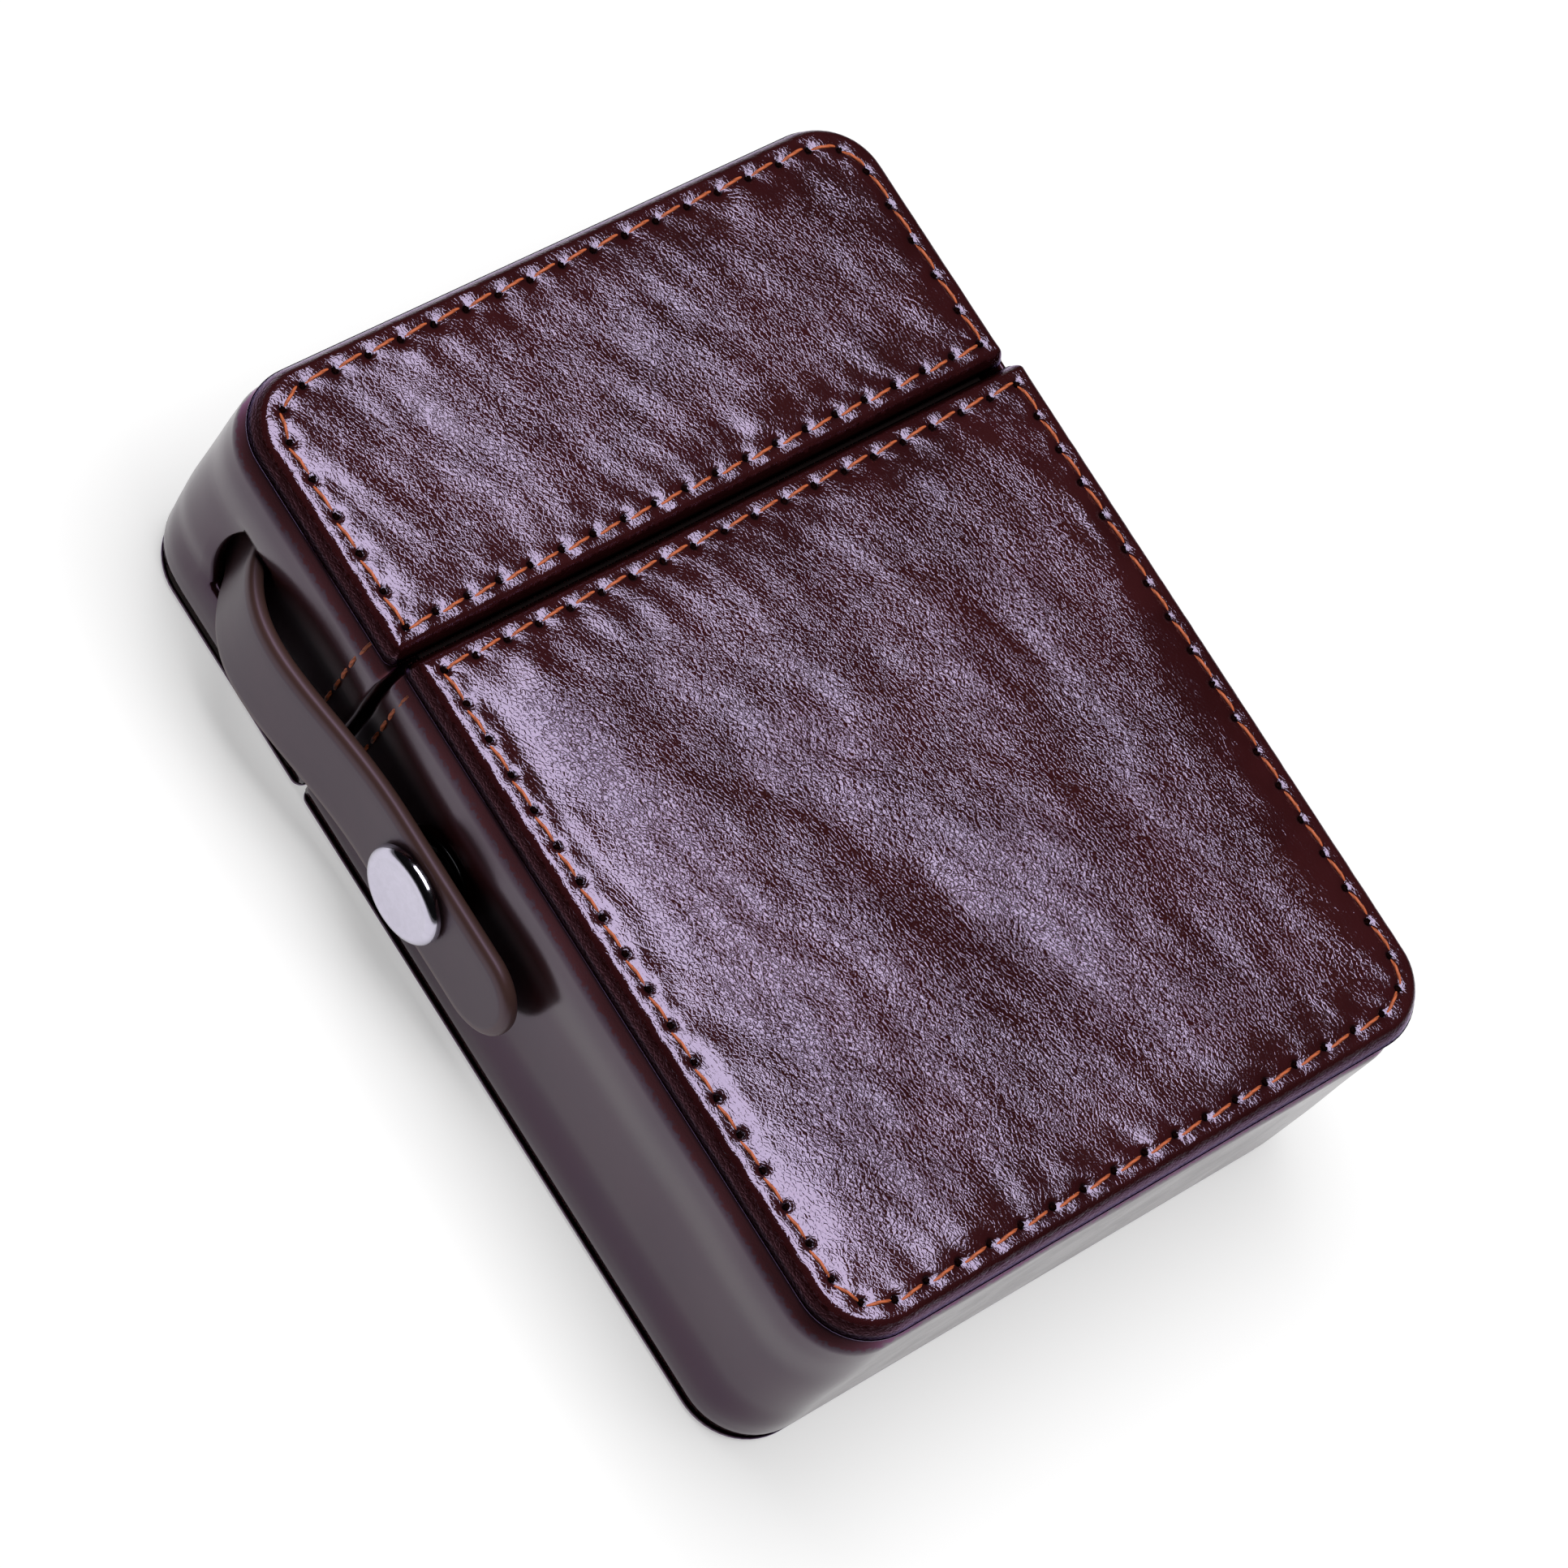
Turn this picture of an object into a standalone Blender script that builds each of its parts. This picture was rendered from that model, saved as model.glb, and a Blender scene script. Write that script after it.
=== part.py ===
"""Cigarette and lighter case: a leather-covered box with a side-hinged lid and a snap strap.

The case lies on its back. +Z points out of its front face, +Y towards the lid's end and +X towards
the hinge side; the strap and its snap are on the -X side. The origin is on the back face, halfway
along the case and across the body. Lengths are in metres.
"""

import math
from collections import namedtuple

import bmesh
import bpy
from mathutils import Matrix, Vector

# Overall sizes of the case, over the rims of its padded panels
WIDTH = 0.0780
HEIGHT = 0.1090
DEPTH = 0.0340
CORNER_RADIUS = 0.0073

# The lid: how much of the height it takes, the gap at the split, and its set towards the strap
LID_HEIGHT = 0.0310
SPLIT_GAP = 0.0010
LID_SET = 0.0011

# Clearances: between pieces that are glued or seated, and what a cutter passes its target by
SEAT_GAP = 0.0003
OVERRUN = 0.0020

# Padded panels: a leather cover drawn over a board, with a stitch groove round a raised field
PANEL_THICKNESS = 0.0026
PANEL_EDGE_RADIUS = 0.0010
PANEL_INNER_EDGE_RADIUS = 0.0003
SPLIT_CORNER_RADIUS = 0.0012
COVER_SKIN = 0.0010
COVER_RIM = 0.0009
STITCH_INSET = 0.0026
GROOVE_RADIUS = 0.0009
GROOVE_DEPTH = 0.0004
FIELD_RISE = 0.0003
FIELD_INSET = 0.0038

# Side bands: the walls between the panels, with a rolled shoulder along each panel
BAND_INSET = 0.0008
BAND_END_INSET = 0.0002
BAND_WALL = 0.0016
BAND_SHOULDER = 0.0013
BAND_END_RADIUS = 0.0015

# Inner liner: a flocked tray that stands up into the lid as a collar, and its divider
LINER_WALL = 0.0007
LINER_PLAY = 0.0004
COLLAR_HEIGHT = 0.0090
COLLAR_CORNER_RADIUS = 0.0030
COLLAR_HINGE_CLEARANCE = 0.0008
DIVIDER_THICKNESS = 0.0006
DIVIDER_BELOW_SPLIT = 0.0030
DIVIDER_CORNER_RADIUS = 0.0020
LIGHTER_SPACE = 0.0148

# Leather hinge on the +X wall: two leaves that meet at the fold line
HINGE_LEATHER = 0.0009
HINGE_LEAF_LENGTH = 0.0130
HINGE_FOLD_GAP = 0.0003
HINGE_STEP_START = 0.0015
HINGE_STEP_LENGTH = 0.0030
HINGE_SIDE_MARGIN = 0.0016

# Strap: leaves a slot in the lid's wall, bows out and lies flat under its snap
STRAP_WIDTH = 0.0116
STRAP_THICKNESS = 0.0019
STRAP_EDGE_RADIUS = 0.0004
STRAP_ROOT_CORNER_RADIUS = 0.0010
STRAP_BEHIND_MIDDLE = 0.0028
SLOT_BELOW_TOP = 0.0127
SLOT_HEIGHT = 0.0040
SLOT_PLAY_ABOVE = 0.0016
SLOT_SIDE_CLEARANCE = 0.0005
STRAP_ROOT_ANGLE = math.radians(42.0)
STRAP_ROOT_HANDLE = 0.0095
STRAP_SNAP_HANDLE = 0.0130
STRAP_FLAT_ABOVE_SNAP = 0.0060
STRAP_END_BELOW_SNAP = 0.0163
STRAP_HOLE_PLAY = 0.0003
ANCHOR_THICKNESS = 0.0010
ANCHOR_BELOW_SLOT = 0.0060
ANCHOR_EDGE_RADIUS = 0.0002
ANCHOR_NOSE_HALF = 0.0009

# Snap fastener: cap and socket on the strap, stud and rivet on the body's wall
SNAP_BELOW_SPLIT = 0.0165
CAP_DIAMETER = 0.0106
CAP_HEIGHT = 0.0010
CAP_EDGE_RADIUS = 0.0007
CAP_POST_DIAMETER = 0.0018
SOCKET_FLANGE_DIAMETER = 0.0084
SOCKET_FLANGE = 0.0003
SOCKET_BARREL_DIAMETER = 0.0062
SOCKET_ROOF = 0.0004
SNAP_PLAY = 0.0003
STUD_FLANGE_DIAMETER = 0.0110
STUD_FLANGE = 0.0003
STUD_NECK_DIAMETER = 0.0038
STUD_HEAD_DIAMETER = 0.0046
STUD_NECK_HEIGHT = 0.0008
STUD_HEAD_HEIGHT = 0.0009
STUD_ROOF = 0.0003
RIVET_FLANGE_DIAMETER = 0.0090
RIVET_FLANGE = 0.0004
RIVET_POST_DIAMETER = 0.0020

# How finely the round stretches are drawn
CORNER_SEGMENTS = 8
EDGE_SEGMENTS = 3
TURN_STEPS = 40
STRAP_STATIONS = 28
PATH_STEPS = 96
ARC_STEPS = 6

# Places worked out from the sizes above
SPLIT_Y = HEIGHT / 2 - LID_HEIGHT
MIDDLE_Z = DEPTH / 2
BAND_LOW_Z = PANEL_THICKNESS + SEAT_GAP
BAND_HEIGHT = DEPTH - 2 * BAND_LOW_Z
WALL_X = WIDTH / 2 - BAND_INSET
WALL_INSIDE_X = WALL_X - BAND_WALL
LID_WALL_X = -WALL_X - LID_SET
STRAP_Z = MIDDLE_Z - STRAP_BEHIND_MIDDLE
SLOT_Y = HEIGHT / 2 - SLOT_BELOW_TOP
SNAP_Y = SPLIT_Y - SNAP_BELOW_SPLIT
HINGE_X = WALL_X + SEAT_GAP + HINGE_LEATHER

# Heights in the snap, measured outwards from the body's wall
STUD_BASE = SEAT_GAP
STUD_TOP = STUD_BASE + STUD_FLANGE + STUD_NECK_HEIGHT + STUD_HEAD_HEIGHT
SOCKET_BASE = STUD_BASE + STUD_FLANGE + SEAT_GAP
STRAP_STANDOFF = SOCKET_BASE + SOCKET_FLANGE + SEAT_GAP
SOCKET_CEILING = STUD_TOP + SNAP_PLAY
CAP_BASE = STRAP_STANDOFF + STRAP_THICKNESS + SEAT_GAP

# Liner, as it sits inside the body's band
LINER_X = WALL_INSIDE_X - SEAT_GAP
LINER_LOW_Z = PANEL_THICKNESS + LINER_PLAY
LINER_DEPTH = DEPTH - 2 * LINER_LOW_Z
LINER_BOTTOM_Y = -HEIGHT / 2 + BAND_INSET + BAND_WALL + SEAT_GAP
DIVIDER_X = -LINER_X + LINER_WALL + LIGHTER_SPACE

Half = namedtuple("Half", "low high split_at_top set_x")
BODY = Half(-HEIGHT / 2, SPLIT_Y - SPLIT_GAP / 2, True, 0.0)
LID = Half(SPLIT_Y + SPLIT_GAP / 2, HEIGHT / 2, False, -LID_SET)


def clear_scene():
    """Removes every object, so that the file starts empty."""
    for item in list(bpy.data.objects):
        bpy.data.objects.remove(item, do_unlink=True)


def make_collection(name):
    """A collection linked to the scene."""
    collection = bpy.data.collections.new(name)
    bpy.context.scene.collection.children.link(collection)
    return collection


def make_material(name, colour, roughness, metallic=0.0):
    """A plain Principled material; the colour is linear red, green and blue."""
    material = bpy.data.materials.new(name)
    material.use_nodes = True
    shader = material.node_tree.nodes["Principled BSDF"]
    shader.inputs["Base Color"].default_value = (*colour, 1.0)
    shader.inputs["Roughness"].default_value = roughness
    shader.inputs["Metallic"].default_value = metallic
    return material


def add_object(name, mesh, collection):
    """An object for a mesh, linked to a collection."""
    item = bpy.data.objects.new(name, mesh)
    collection.objects.link(item)
    return item


def mark_cutter(item):
    """Keeps a cutter out of the model."""
    item.hide_render = True
    item.display_type = "WIRE"
    return item


def add_boolean(target, other, operation):
    """A Boolean modifier that joins or cuts the target with another object."""
    modifier = target.modifiers.new(operation.title(), "BOOLEAN")
    modifier.operation = operation
    modifier.solver = "EXACT"
    modifier.object = other


def limited(radius, room):
    """A fillet radius held within nine tenths of the room that its wall leaves."""
    room_share = 0.9
    return min(radius, room * room_share)


def rounded_outline(left, right, bottom, top, bottom_radius, top_radius):
    """A rectangle with arcs at its corners, anticlockwise from the bottom left."""
    corners = (
        (left + bottom_radius, bottom + bottom_radius, bottom_radius, math.pi),
        (right - bottom_radius, bottom + bottom_radius, bottom_radius, 1.5 * math.pi),
        (right - top_radius, top - top_radius, top_radius, 0.0),
        (left + top_radius, top - top_radius, top_radius, 0.5 * math.pi),
    )
    points = []
    for x, y, radius, start in corners:
        for step in range(CORNER_SEGMENTS + 1):
            angle = start + 0.5 * math.pi * step / CORNER_SEGMENTS
            points.append((x + radius * math.cos(angle), y + radius * math.sin(angle)))
    return points


def half_outline(half, inset, split_inset, split_radius):
    """The outline of the body or the lid, drawn in by inset, and by split_inset at the split."""
    outer_radius = max(CORNER_RADIUS - inset, SPLIT_CORNER_RADIUS)
    side = WIDTH / 2 - inset
    if half.split_at_top:
        bottom = half.low + inset
        top = half.high - split_inset
        return rounded_outline(-side, side, bottom, top, outer_radius, split_radius)
    bottom = half.low + split_inset
    top = half.high - inset
    return rounded_outline(-side, side, bottom, top, split_radius, outer_radius)


def curve_from_outline(name, outline, collection):
    """A closed flat curve through the outline's points."""
    curve = bpy.data.curves.new(name, "CURVE")
    curve.dimensions = "2D"
    curve.fill_mode = "BOTH"
    spline = curve.splines.new("POLY")
    spline.points.add(len(outline) - 1)
    for point, (x, y) in zip(spline.points, outline):
        point.co = (x, y, 0.0, 1.0)
    spline.use_cyclic_u = True
    item = bpy.data.objects.new(name, curve)
    collection.objects.link(item)
    return item


def mesh_from_curve(item, weld_distance=0.000001):
    """Turns a curve object into a mesh object with welded caps, and removes the curve."""
    graph = bpy.context.evaluated_depsgraph_get()
    mesh = bpy.data.meshes.new_from_object(item.evaluated_get(graph))
    name = item.name
    collection = item.users_collection[0]
    matrix = item.matrix_world.copy()
    bpy.data.objects.remove(item, do_unlink=True)
    mesh.name = name
    shape = bmesh.new()
    shape.from_mesh(mesh)
    bmesh.ops.remove_doubles(shape, verts=shape.verts, dist=weld_distance)
    bmesh.ops.recalc_face_normals(shape, faces=shape.faces)
    shape.to_mesh(mesh)
    shape.free()
    result = add_object(name, mesh, collection)
    result.matrix_world = matrix
    return result


def bevel_rims(item, height, radius):
    """Rounds the edges of a plate that lie at one height, where its face meets its sides."""
    if radius <= 0.0:
        return
    shape = bmesh.new()
    shape.from_mesh(item.data)
    flat_angle = math.radians(1.0)
    rim_angle = math.radians(60.0)
    bmesh.ops.dissolve_limit(shape, angle_limit=flat_angle, verts=shape.verts, edges=shape.edges)
    tolerance = PANEL_THICKNESS / 1000.0
    rims = []
    for edge in shape.edges:
        level = all(abs(vertex.co.z - height) < tolerance for vertex in edge.verts)
        if level and edge.is_manifold and edge.calc_face_angle() > rim_angle:
            rims.append(edge)
    bmesh.ops.bevel(
        shape, geom=rims, offset=radius, offset_type="OFFSET", segments=EDGE_SEGMENTS,
        profile=0.5, affect="EDGES", clamp_overlap=False,
    )
    shape.to_mesh(item.data)
    shape.free()


def make_plate(name, outline, low, high, collection, low_radius=0.0, high_radius=0.0):
    """A flat outline given its thickness from low to high, with rounded rims."""
    curve = curve_from_outline(name, outline, collection)
    curve.data.extrude = (high - low) / 2
    plate = mesh_from_curve(curve)
    plate.data.transform(Matrix.Translation((0.0, 0.0, (low + high) / 2)))
    bevel_rims(plate, high, high_radius)
    bevel_rims(plate, low, low_radius)
    return plate


def make_box(name, low, high, collection):
    """A box between two corners."""
    shape = bmesh.new()
    bmesh.ops.create_cube(shape, size=1.0)
    size = Vector(high) - Vector(low)
    centre = (Vector(high) + Vector(low)) / 2
    bmesh.ops.transform(shape, matrix=Matrix.Diagonal((*size, 1.0)), verts=shape.verts)
    mesh = bpy.data.meshes.new(name)
    shape.to_mesh(mesh)
    shape.free()
    box = add_object(name, mesh, collection)
    box.location = centre
    return box


def make_turned(name, profile, wall_x, collection, closed=False):
    """A turned piece on the snap's axis: the profile holds radii and heights out from the wall.

    The profile runs down its outer side, from the outermost height back to the wall.
    """
    mesh = bpy.data.meshes.new(name)
    points = [(radius, 0.0, height) for radius, height in profile]
    edges = [(index, index + 1) for index in range(len(points) - 1)]
    if closed:
        edges.append((len(points) - 1, 0))
    mesh.from_pydata(points, edges, [])
    item = add_object(name, mesh, collection)
    screw = item.modifiers.new("Turn", "SCREW")
    screw.steps = TURN_STEPS
    screw.render_steps = TURN_STEPS
    screw.use_merge_vertices = True
    screw.merge_threshold = 0.00001
    screw.use_smooth_shade = True
    item.location = (wall_x, SNAP_Y, STRAP_Z)
    item.rotation_euler = (0.0, -math.pi / 2, 0.0)
    return item


def arc(centre_radius, centre_height, radius, start, end):
    """Profile points on a quarter arc, from the start angle to the end angle."""
    points = []
    for step in range(ARC_STEPS + 1):
        angle = start + (end - start) * step / ARC_STEPS
        across = centre_radius + radius * math.cos(angle)
        points.append((across, centre_height + radius * math.sin(angle)))
    return points


def place_on_half(item, half, z, turned_over=False):
    """Puts a piece at its height, set across with the lid, and turned over for the back."""
    item.location = (half.set_x, 0.0, z)
    if turned_over:
        item.rotation_euler = (0.0, math.pi, 0.0)


def make_cover(name, half, at_front, model, cutters):
    """The leather cover of a panel: rounded rims, a stitch groove, and a recess for its board."""
    edge_radius = limited(PANEL_EDGE_RADIUS, SPLIT_CORNER_RADIUS)
    inner_radius = limited(PANEL_INNER_EDGE_RADIUS, COVER_RIM)
    outline = half_outline(half, 0.0, 0.0, SPLIT_CORNER_RADIUS)
    cover = make_plate(name, outline, -PANEL_THICKNESS, 0.0, model, inner_radius, edge_radius)
    parts = [cover]
    if at_front:
        field_outline = half_outline(half, FIELD_INSET, FIELD_INSET, SPLIT_CORNER_RADIUS)
        field_radius = limited(FIELD_RISE, FIELD_RISE)
        field = make_plate(
            name + "_field", field_outline, -COVER_SKIN / 2, FIELD_RISE, cutters,
            high_radius=field_radius,
        )
        add_boolean(cover, mark_cutter(field), "UNION")
        parts.append(field)
    stitch_outline = half_outline(half, STITCH_INSET, STITCH_INSET, SPLIT_CORNER_RADIUS)
    groove_curve = curve_from_outline(name + "_groove", stitch_outline, cutters)
    groove_curve.data.dimensions = "3D"
    groove_curve.data.fill_mode = "FULL"
    groove_curve.data.bevel_depth = GROOVE_RADIUS
    groove_curve.data.bevel_resolution = 3
    groove = mesh_from_curve(groove_curve)
    groove.data.transform(Matrix.Translation((0.0, 0.0, GROOVE_RADIUS - GROOVE_DEPTH)))
    add_boolean(cover, mark_cutter(groove), "DIFFERENCE")
    recess_outline = half_outline(half, COVER_RIM, COVER_RIM, SPLIT_CORNER_RADIUS)
    recess = make_plate(
        name + "_recess", recess_outline, -PANEL_THICKNESS - OVERRUN, -COVER_SKIN, cutters,
    )
    add_boolean(cover, mark_cutter(recess), "DIFFERENCE")
    parts += [groove, recess]
    for part in parts:
        place_on_half(part, half, DEPTH if at_front else 0.0, turned_over=not at_front)
    return cover


def make_board(name, half, at_front, model):
    """The board that stiffens a panel, flush with the inner side of its cover."""
    inset = COVER_RIM + SEAT_GAP
    outline = half_outline(half, inset, inset, SPLIT_CORNER_RADIUS)
    board = make_plate(name, outline, -PANEL_THICKNESS, -COVER_SKIN - SEAT_GAP, model)
    place_on_half(board, half, DEPTH if at_front else 0.0, turned_over=not at_front)
    return board


def make_band(name, half, model, cutters):
    """The wall of the body or the lid: a block with rolled shoulders, hollowed to the split."""
    end_radius = BAND_END_RADIUS
    shoulder = limited(BAND_SHOULDER, min(BAND_END_RADIUS, BAND_WALL))
    outline = half_outline(half, BAND_INSET, BAND_END_INSET, end_radius)
    band = make_plate(name, outline, 0.0, BAND_HEIGHT, model, shoulder, shoulder)
    inset = BAND_INSET + BAND_WALL
    hollow_outline = half_outline(half, inset, -OVERRUN, SPLIT_CORNER_RADIUS)
    hollow = make_plate(name + "_hollow", hollow_outline, -OVERRUN, BAND_HEIGHT + OVERRUN, cutters)
    add_boolean(band, mark_cutter(hollow), "DIFFERENCE")
    place_on_half(band, half, BAND_LOW_Z)
    place_on_half(hollow, half, BAND_LOW_Z)
    return band


def cut_strap_slot(band, cutters):
    """Cuts the slot in the lid's wall that the strap comes out of."""
    half_length = STRAP_WIDTH / 2 + SLOT_SIDE_CLEARANCE
    low = (LID_WALL_X - OVERRUN, SLOT_Y - SLOT_HEIGHT / 2, STRAP_Z - half_length)
    slot_top = SLOT_Y + SLOT_HEIGHT / 2 + SLOT_PLAY_ABOVE
    high = (LID_WALL_X + BAND_WALL + OVERRUN, slot_top, STRAP_Z + half_length)
    slot = make_box("strap_slot", low, high, cutters)
    add_boolean(band, mark_cutter(slot), "DIFFERENCE")


def cut_round_hole(target, name, diameter, outer_x, inner_x, cutters):
    """Cuts a round hole through a wall, on the snap's axis."""
    shape = bmesh.new()
    bmesh.ops.create_cone(
        shape, cap_ends=True, segments=TURN_STEPS, radius1=diameter / 2, radius2=diameter / 2,
        depth=inner_x - outer_x,
    )
    mesh = bpy.data.meshes.new(name)
    shape.to_mesh(mesh)
    shape.free()
    hole = add_object(name, mesh, cutters)
    hole.location = ((outer_x + inner_x) / 2, SNAP_Y, STRAP_Z)
    hole.rotation_euler = (0.0, math.pi / 2, 0.0)
    add_boolean(target, mark_cutter(hole), "DIFFERENCE")


def make_liner(model, cutters):
    """The tray inside the body, with a collar that stands up into the lid on three sides."""
    top = SPLIT_Y + COLLAR_HEIGHT
    corner = max(CORNER_RADIUS - BAND_INSET - BAND_WALL - SEAT_GAP, SPLIT_CORNER_RADIUS)
    outline = rounded_outline(-LINER_X, LINER_X, LINER_BOTTOM_Y, top, corner, COLLAR_CORNER_RADIUS)
    liner = make_plate("body_liner", outline, 0.0, LINER_DEPTH, model)
    inner_x = LINER_X - LINER_WALL
    inner_corner = max(corner - LINER_WALL, LINER_WALL)
    hollow_outline = rounded_outline(
        -inner_x, inner_x, LINER_BOTTOM_Y + LINER_WALL, top + OVERRUN, inner_corner, LINER_WALL,
    )
    hollow = make_plate("liner_hollow", hollow_outline, LINER_WALL, LINER_DEPTH - LINER_WALL, cutters)
    add_boolean(liner, mark_cutter(hollow), "DIFFERENCE")
    liner.location = (0.0, 0.0, LINER_LOW_Z)
    hollow.location = (0.0, 0.0, LINER_LOW_Z)
    collar_end_x = WALL_INSIDE_X - LID_SET - COLLAR_HINGE_CLEARANCE
    notch = make_box(
        "collar_notch",
        (collar_end_x, SPLIT_Y - SPLIT_GAP / 2, LINER_LOW_Z - OVERRUN),
        (LINER_X + OVERRUN, top + OVERRUN, LINER_LOW_Z + LINER_DEPTH + OVERRUN),
        cutters,
    )
    add_boolean(liner, mark_cutter(notch), "DIFFERENCE")
    cut_round_hole(
        liner, "liner_rivet_hole", RIVET_FLANGE_DIAMETER + 2 * SEAT_GAP,
        -LINER_X - SEAT_GAP / 2, -LINER_X + LINER_WALL + OVERRUN, cutters,
    )
    return liner


def make_divider(model):
    """The wall between the lighter's space and the cigarettes, standing in the liner."""
    bottom = LINER_BOTTOM_Y + LINER_WALL + SEAT_GAP
    top = SPLIT_Y - DIVIDER_BELOW_SPLIT
    half_depth = LINER_DEPTH / 2 - LINER_WALL - SEAT_GAP
    outline = rounded_outline(
        -half_depth, half_depth, bottom, top, DIVIDER_THICKNESS, DIVIDER_CORNER_RADIUS,
    )
    divider = make_plate("compartment_divider", outline, 0.0, DIVIDER_THICKNESS, model)
    divider.location = (DIVIDER_X, 0.0, MIDDLE_Z)
    divider.rotation_euler = (0.0, math.pi / 2, 0.0)
    return divider


def make_hinge_leaf(name, lower_x, upper_x, start_y, step_y, end_y, model):
    """One leaf of the leather hinge: its side view, carried across the wall.

    The leaf's outer face lies at lower_x from start_y and steps over to upper_x at step_y.
    """
    step_end = step_y + math.copysign(HINGE_STEP_LENGTH, end_y - start_y)
    face = [(lower_x, start_y), (lower_x, step_y), (upper_x, step_end), (upper_x, end_y)]
    back = [(x - HINGE_LEATHER, y) for x, y in reversed(face)]
    low = BAND_LOW_Z + HINGE_SIDE_MARGIN
    return make_plate(name, face + back, low, DEPTH - low, model)


def make_hinge(model):
    """The hinge strip on the +X wall, as the leaf on the body and the leaf on the lid."""
    body_end = SPLIT_Y - HINGE_LEAF_LENGTH
    body_step = SPLIT_Y - HINGE_STEP_START
    body_leaf = make_hinge_leaf(
        "hinge_leather_body", HINGE_X, HINGE_X, SPLIT_Y - HINGE_FOLD_GAP / 2, body_step,
        body_end, model,
    )
    lid_leaf = make_hinge_leaf(
        "hinge_leather_lid", HINGE_X, HINGE_X - LID_SET, SPLIT_Y + HINGE_FOLD_GAP / 2,
        SPLIT_Y + HINGE_STEP_START, SPLIT_Y + HINGE_LEAF_LENGTH, model,
    )
    return body_leaf, lid_leaf


def strap_centreline():
    """The strap's middle line in side view: a Bezier out of the slot, then straight to its end."""
    start = Vector((LID_WALL_X, SLOT_Y))
    flat_x = -WALL_X - STRAP_STANDOFF - STRAP_THICKNESS / 2
    flat = Vector((flat_x, SNAP_Y + STRAP_FLAT_ABOVE_SNAP))
    end = Vector((flat_x, SNAP_Y - STRAP_END_BELOW_SNAP))
    outwards = Vector((-math.sin(STRAP_ROOT_ANGLE), -math.cos(STRAP_ROOT_ANGLE)))
    first = start + STRAP_ROOT_HANDLE * outwards
    second = flat + STRAP_SNAP_HANDLE * Vector((0.0, 1.0))
    points = []
    for step in range(PATH_STEPS):
        t = step / PATH_STEPS
        s = 1.0 - t
        point = s ** 3 * start + 3 * s * s * t * first + 3 * s * t * t * second + t ** 3 * flat
        points.append(point)
    points.append(flat)
    points.append(end)
    return points


def point_along(points, distance):
    """The place and the direction at a distance along a polyline."""
    walked = 0.0
    for first, second in zip(points, points[1:]):
        length = (second - first).length
        direction = (second - first) / length
        if walked + length >= distance or second is points[-1]:
            return first + direction * (distance - walked), direction
        walked += length
    return points[-1], direction


def make_strap(model, cutters):
    """The strap: cut flat with a round end, then bent along its middle line."""
    path = strap_centreline()
    length = sum((b - a).length for a, b in zip(path, path[1:]))
    half_width = STRAP_WIDTH / 2
    half_thickness = STRAP_THICKNESS / 2
    outline = rounded_outline(
        -half_width, half_width, -length, 0.0, half_width, STRAP_ROOT_CORNER_RADIUS,
    )
    edge = limited(STRAP_EDGE_RADIUS, half_thickness)
    strap = make_plate(
        "snap_strap", outline, -half_thickness, half_thickness, model, edge, edge,
    )
    shape = bmesh.new()
    shape.from_mesh(strap.data)
    for station in range(1, STRAP_STATIONS):
        level = -(length - half_width) * station / STRAP_STATIONS
        geometry = shape.verts[:] + shape.edges[:] + shape.faces[:]
        bmesh.ops.bisect_plane(
            shape, geom=geometry, dist=0.0000001, plane_co=(0.0, level, 0.0), plane_no=(0.0, 1.0, 0.0),
        )
    for vertex in shape.verts:
        across, along, through = vertex.co
        place, direction = point_along(path, max(-along, 0.0))
        outwards = Vector((direction.y, -direction.x))
        bent = place + outwards * through
        vertex.co = (bent.x, bent.y, STRAP_Z + across)
    bmesh.ops.recalc_face_normals(shape, faces=shape.faces)
    shape.to_mesh(strap.data)
    shape.free()
    inner_x = -WALL_X - STRAP_STANDOFF
    cut_round_hole(
        strap, "strap_hole", SOCKET_BARREL_DIAMETER + 2 * STRAP_HOLE_PLAY,
        inner_x - STRAP_THICKNESS - SEAT_GAP, inner_x + SEAT_GAP, cutters,
    )
    return strap


def make_strap_anchor(model):
    """The strap's inner end, glued inside the lid's wall, with a nose that fills the slot."""
    wall_inside = LID_WALL_X + BAND_WALL
    back = wall_inside + SEAT_GAP
    nose = LID_WALL_X + STRAP_THICKNESS / 2 + SEAT_GAP
    bottom = SLOT_Y - ANCHOR_BELOW_SLOT
    top = LID.high - CORNER_RADIUS
    outline = [
        (back, bottom),
        (back + ANCHOR_THICKNESS, bottom),
        (back + ANCHOR_THICKNESS, top),
        (back, top),
        (back, SLOT_Y + ANCHOR_NOSE_HALF),
        (nose, SLOT_Y + ANCHOR_NOSE_HALF),
        (nose, SLOT_Y - ANCHOR_NOSE_HALF),
        (back, SLOT_Y - ANCHOR_NOSE_HALF),
    ]
    half_width = STRAP_WIDTH / 2
    edge = ANCHOR_EDGE_RADIUS
    return make_plate(
        "strap_anchor", outline, STRAP_Z - half_width, STRAP_Z + half_width, model, edge, edge,
    )


def make_snap_cap(model):
    """The chrome cap: a flat disc with a rounded edge, and a post through the strap."""
    radius = CAP_DIAMETER / 2
    top = CAP_BASE + CAP_HEIGHT
    edge = limited(CAP_EDGE_RADIUS, CAP_HEIGHT)
    post = CAP_POST_DIAMETER / 2
    profile = [(0.0, top)]
    profile += arc(radius - edge, top - edge, edge, math.pi / 2, 0.0)
    profile += [(radius, CAP_BASE), (post, CAP_BASE), (post, SOCKET_CEILING), (0.0, SOCKET_CEILING)]
    return make_turned("snap_cap", profile, -WALL_X, model)


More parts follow.
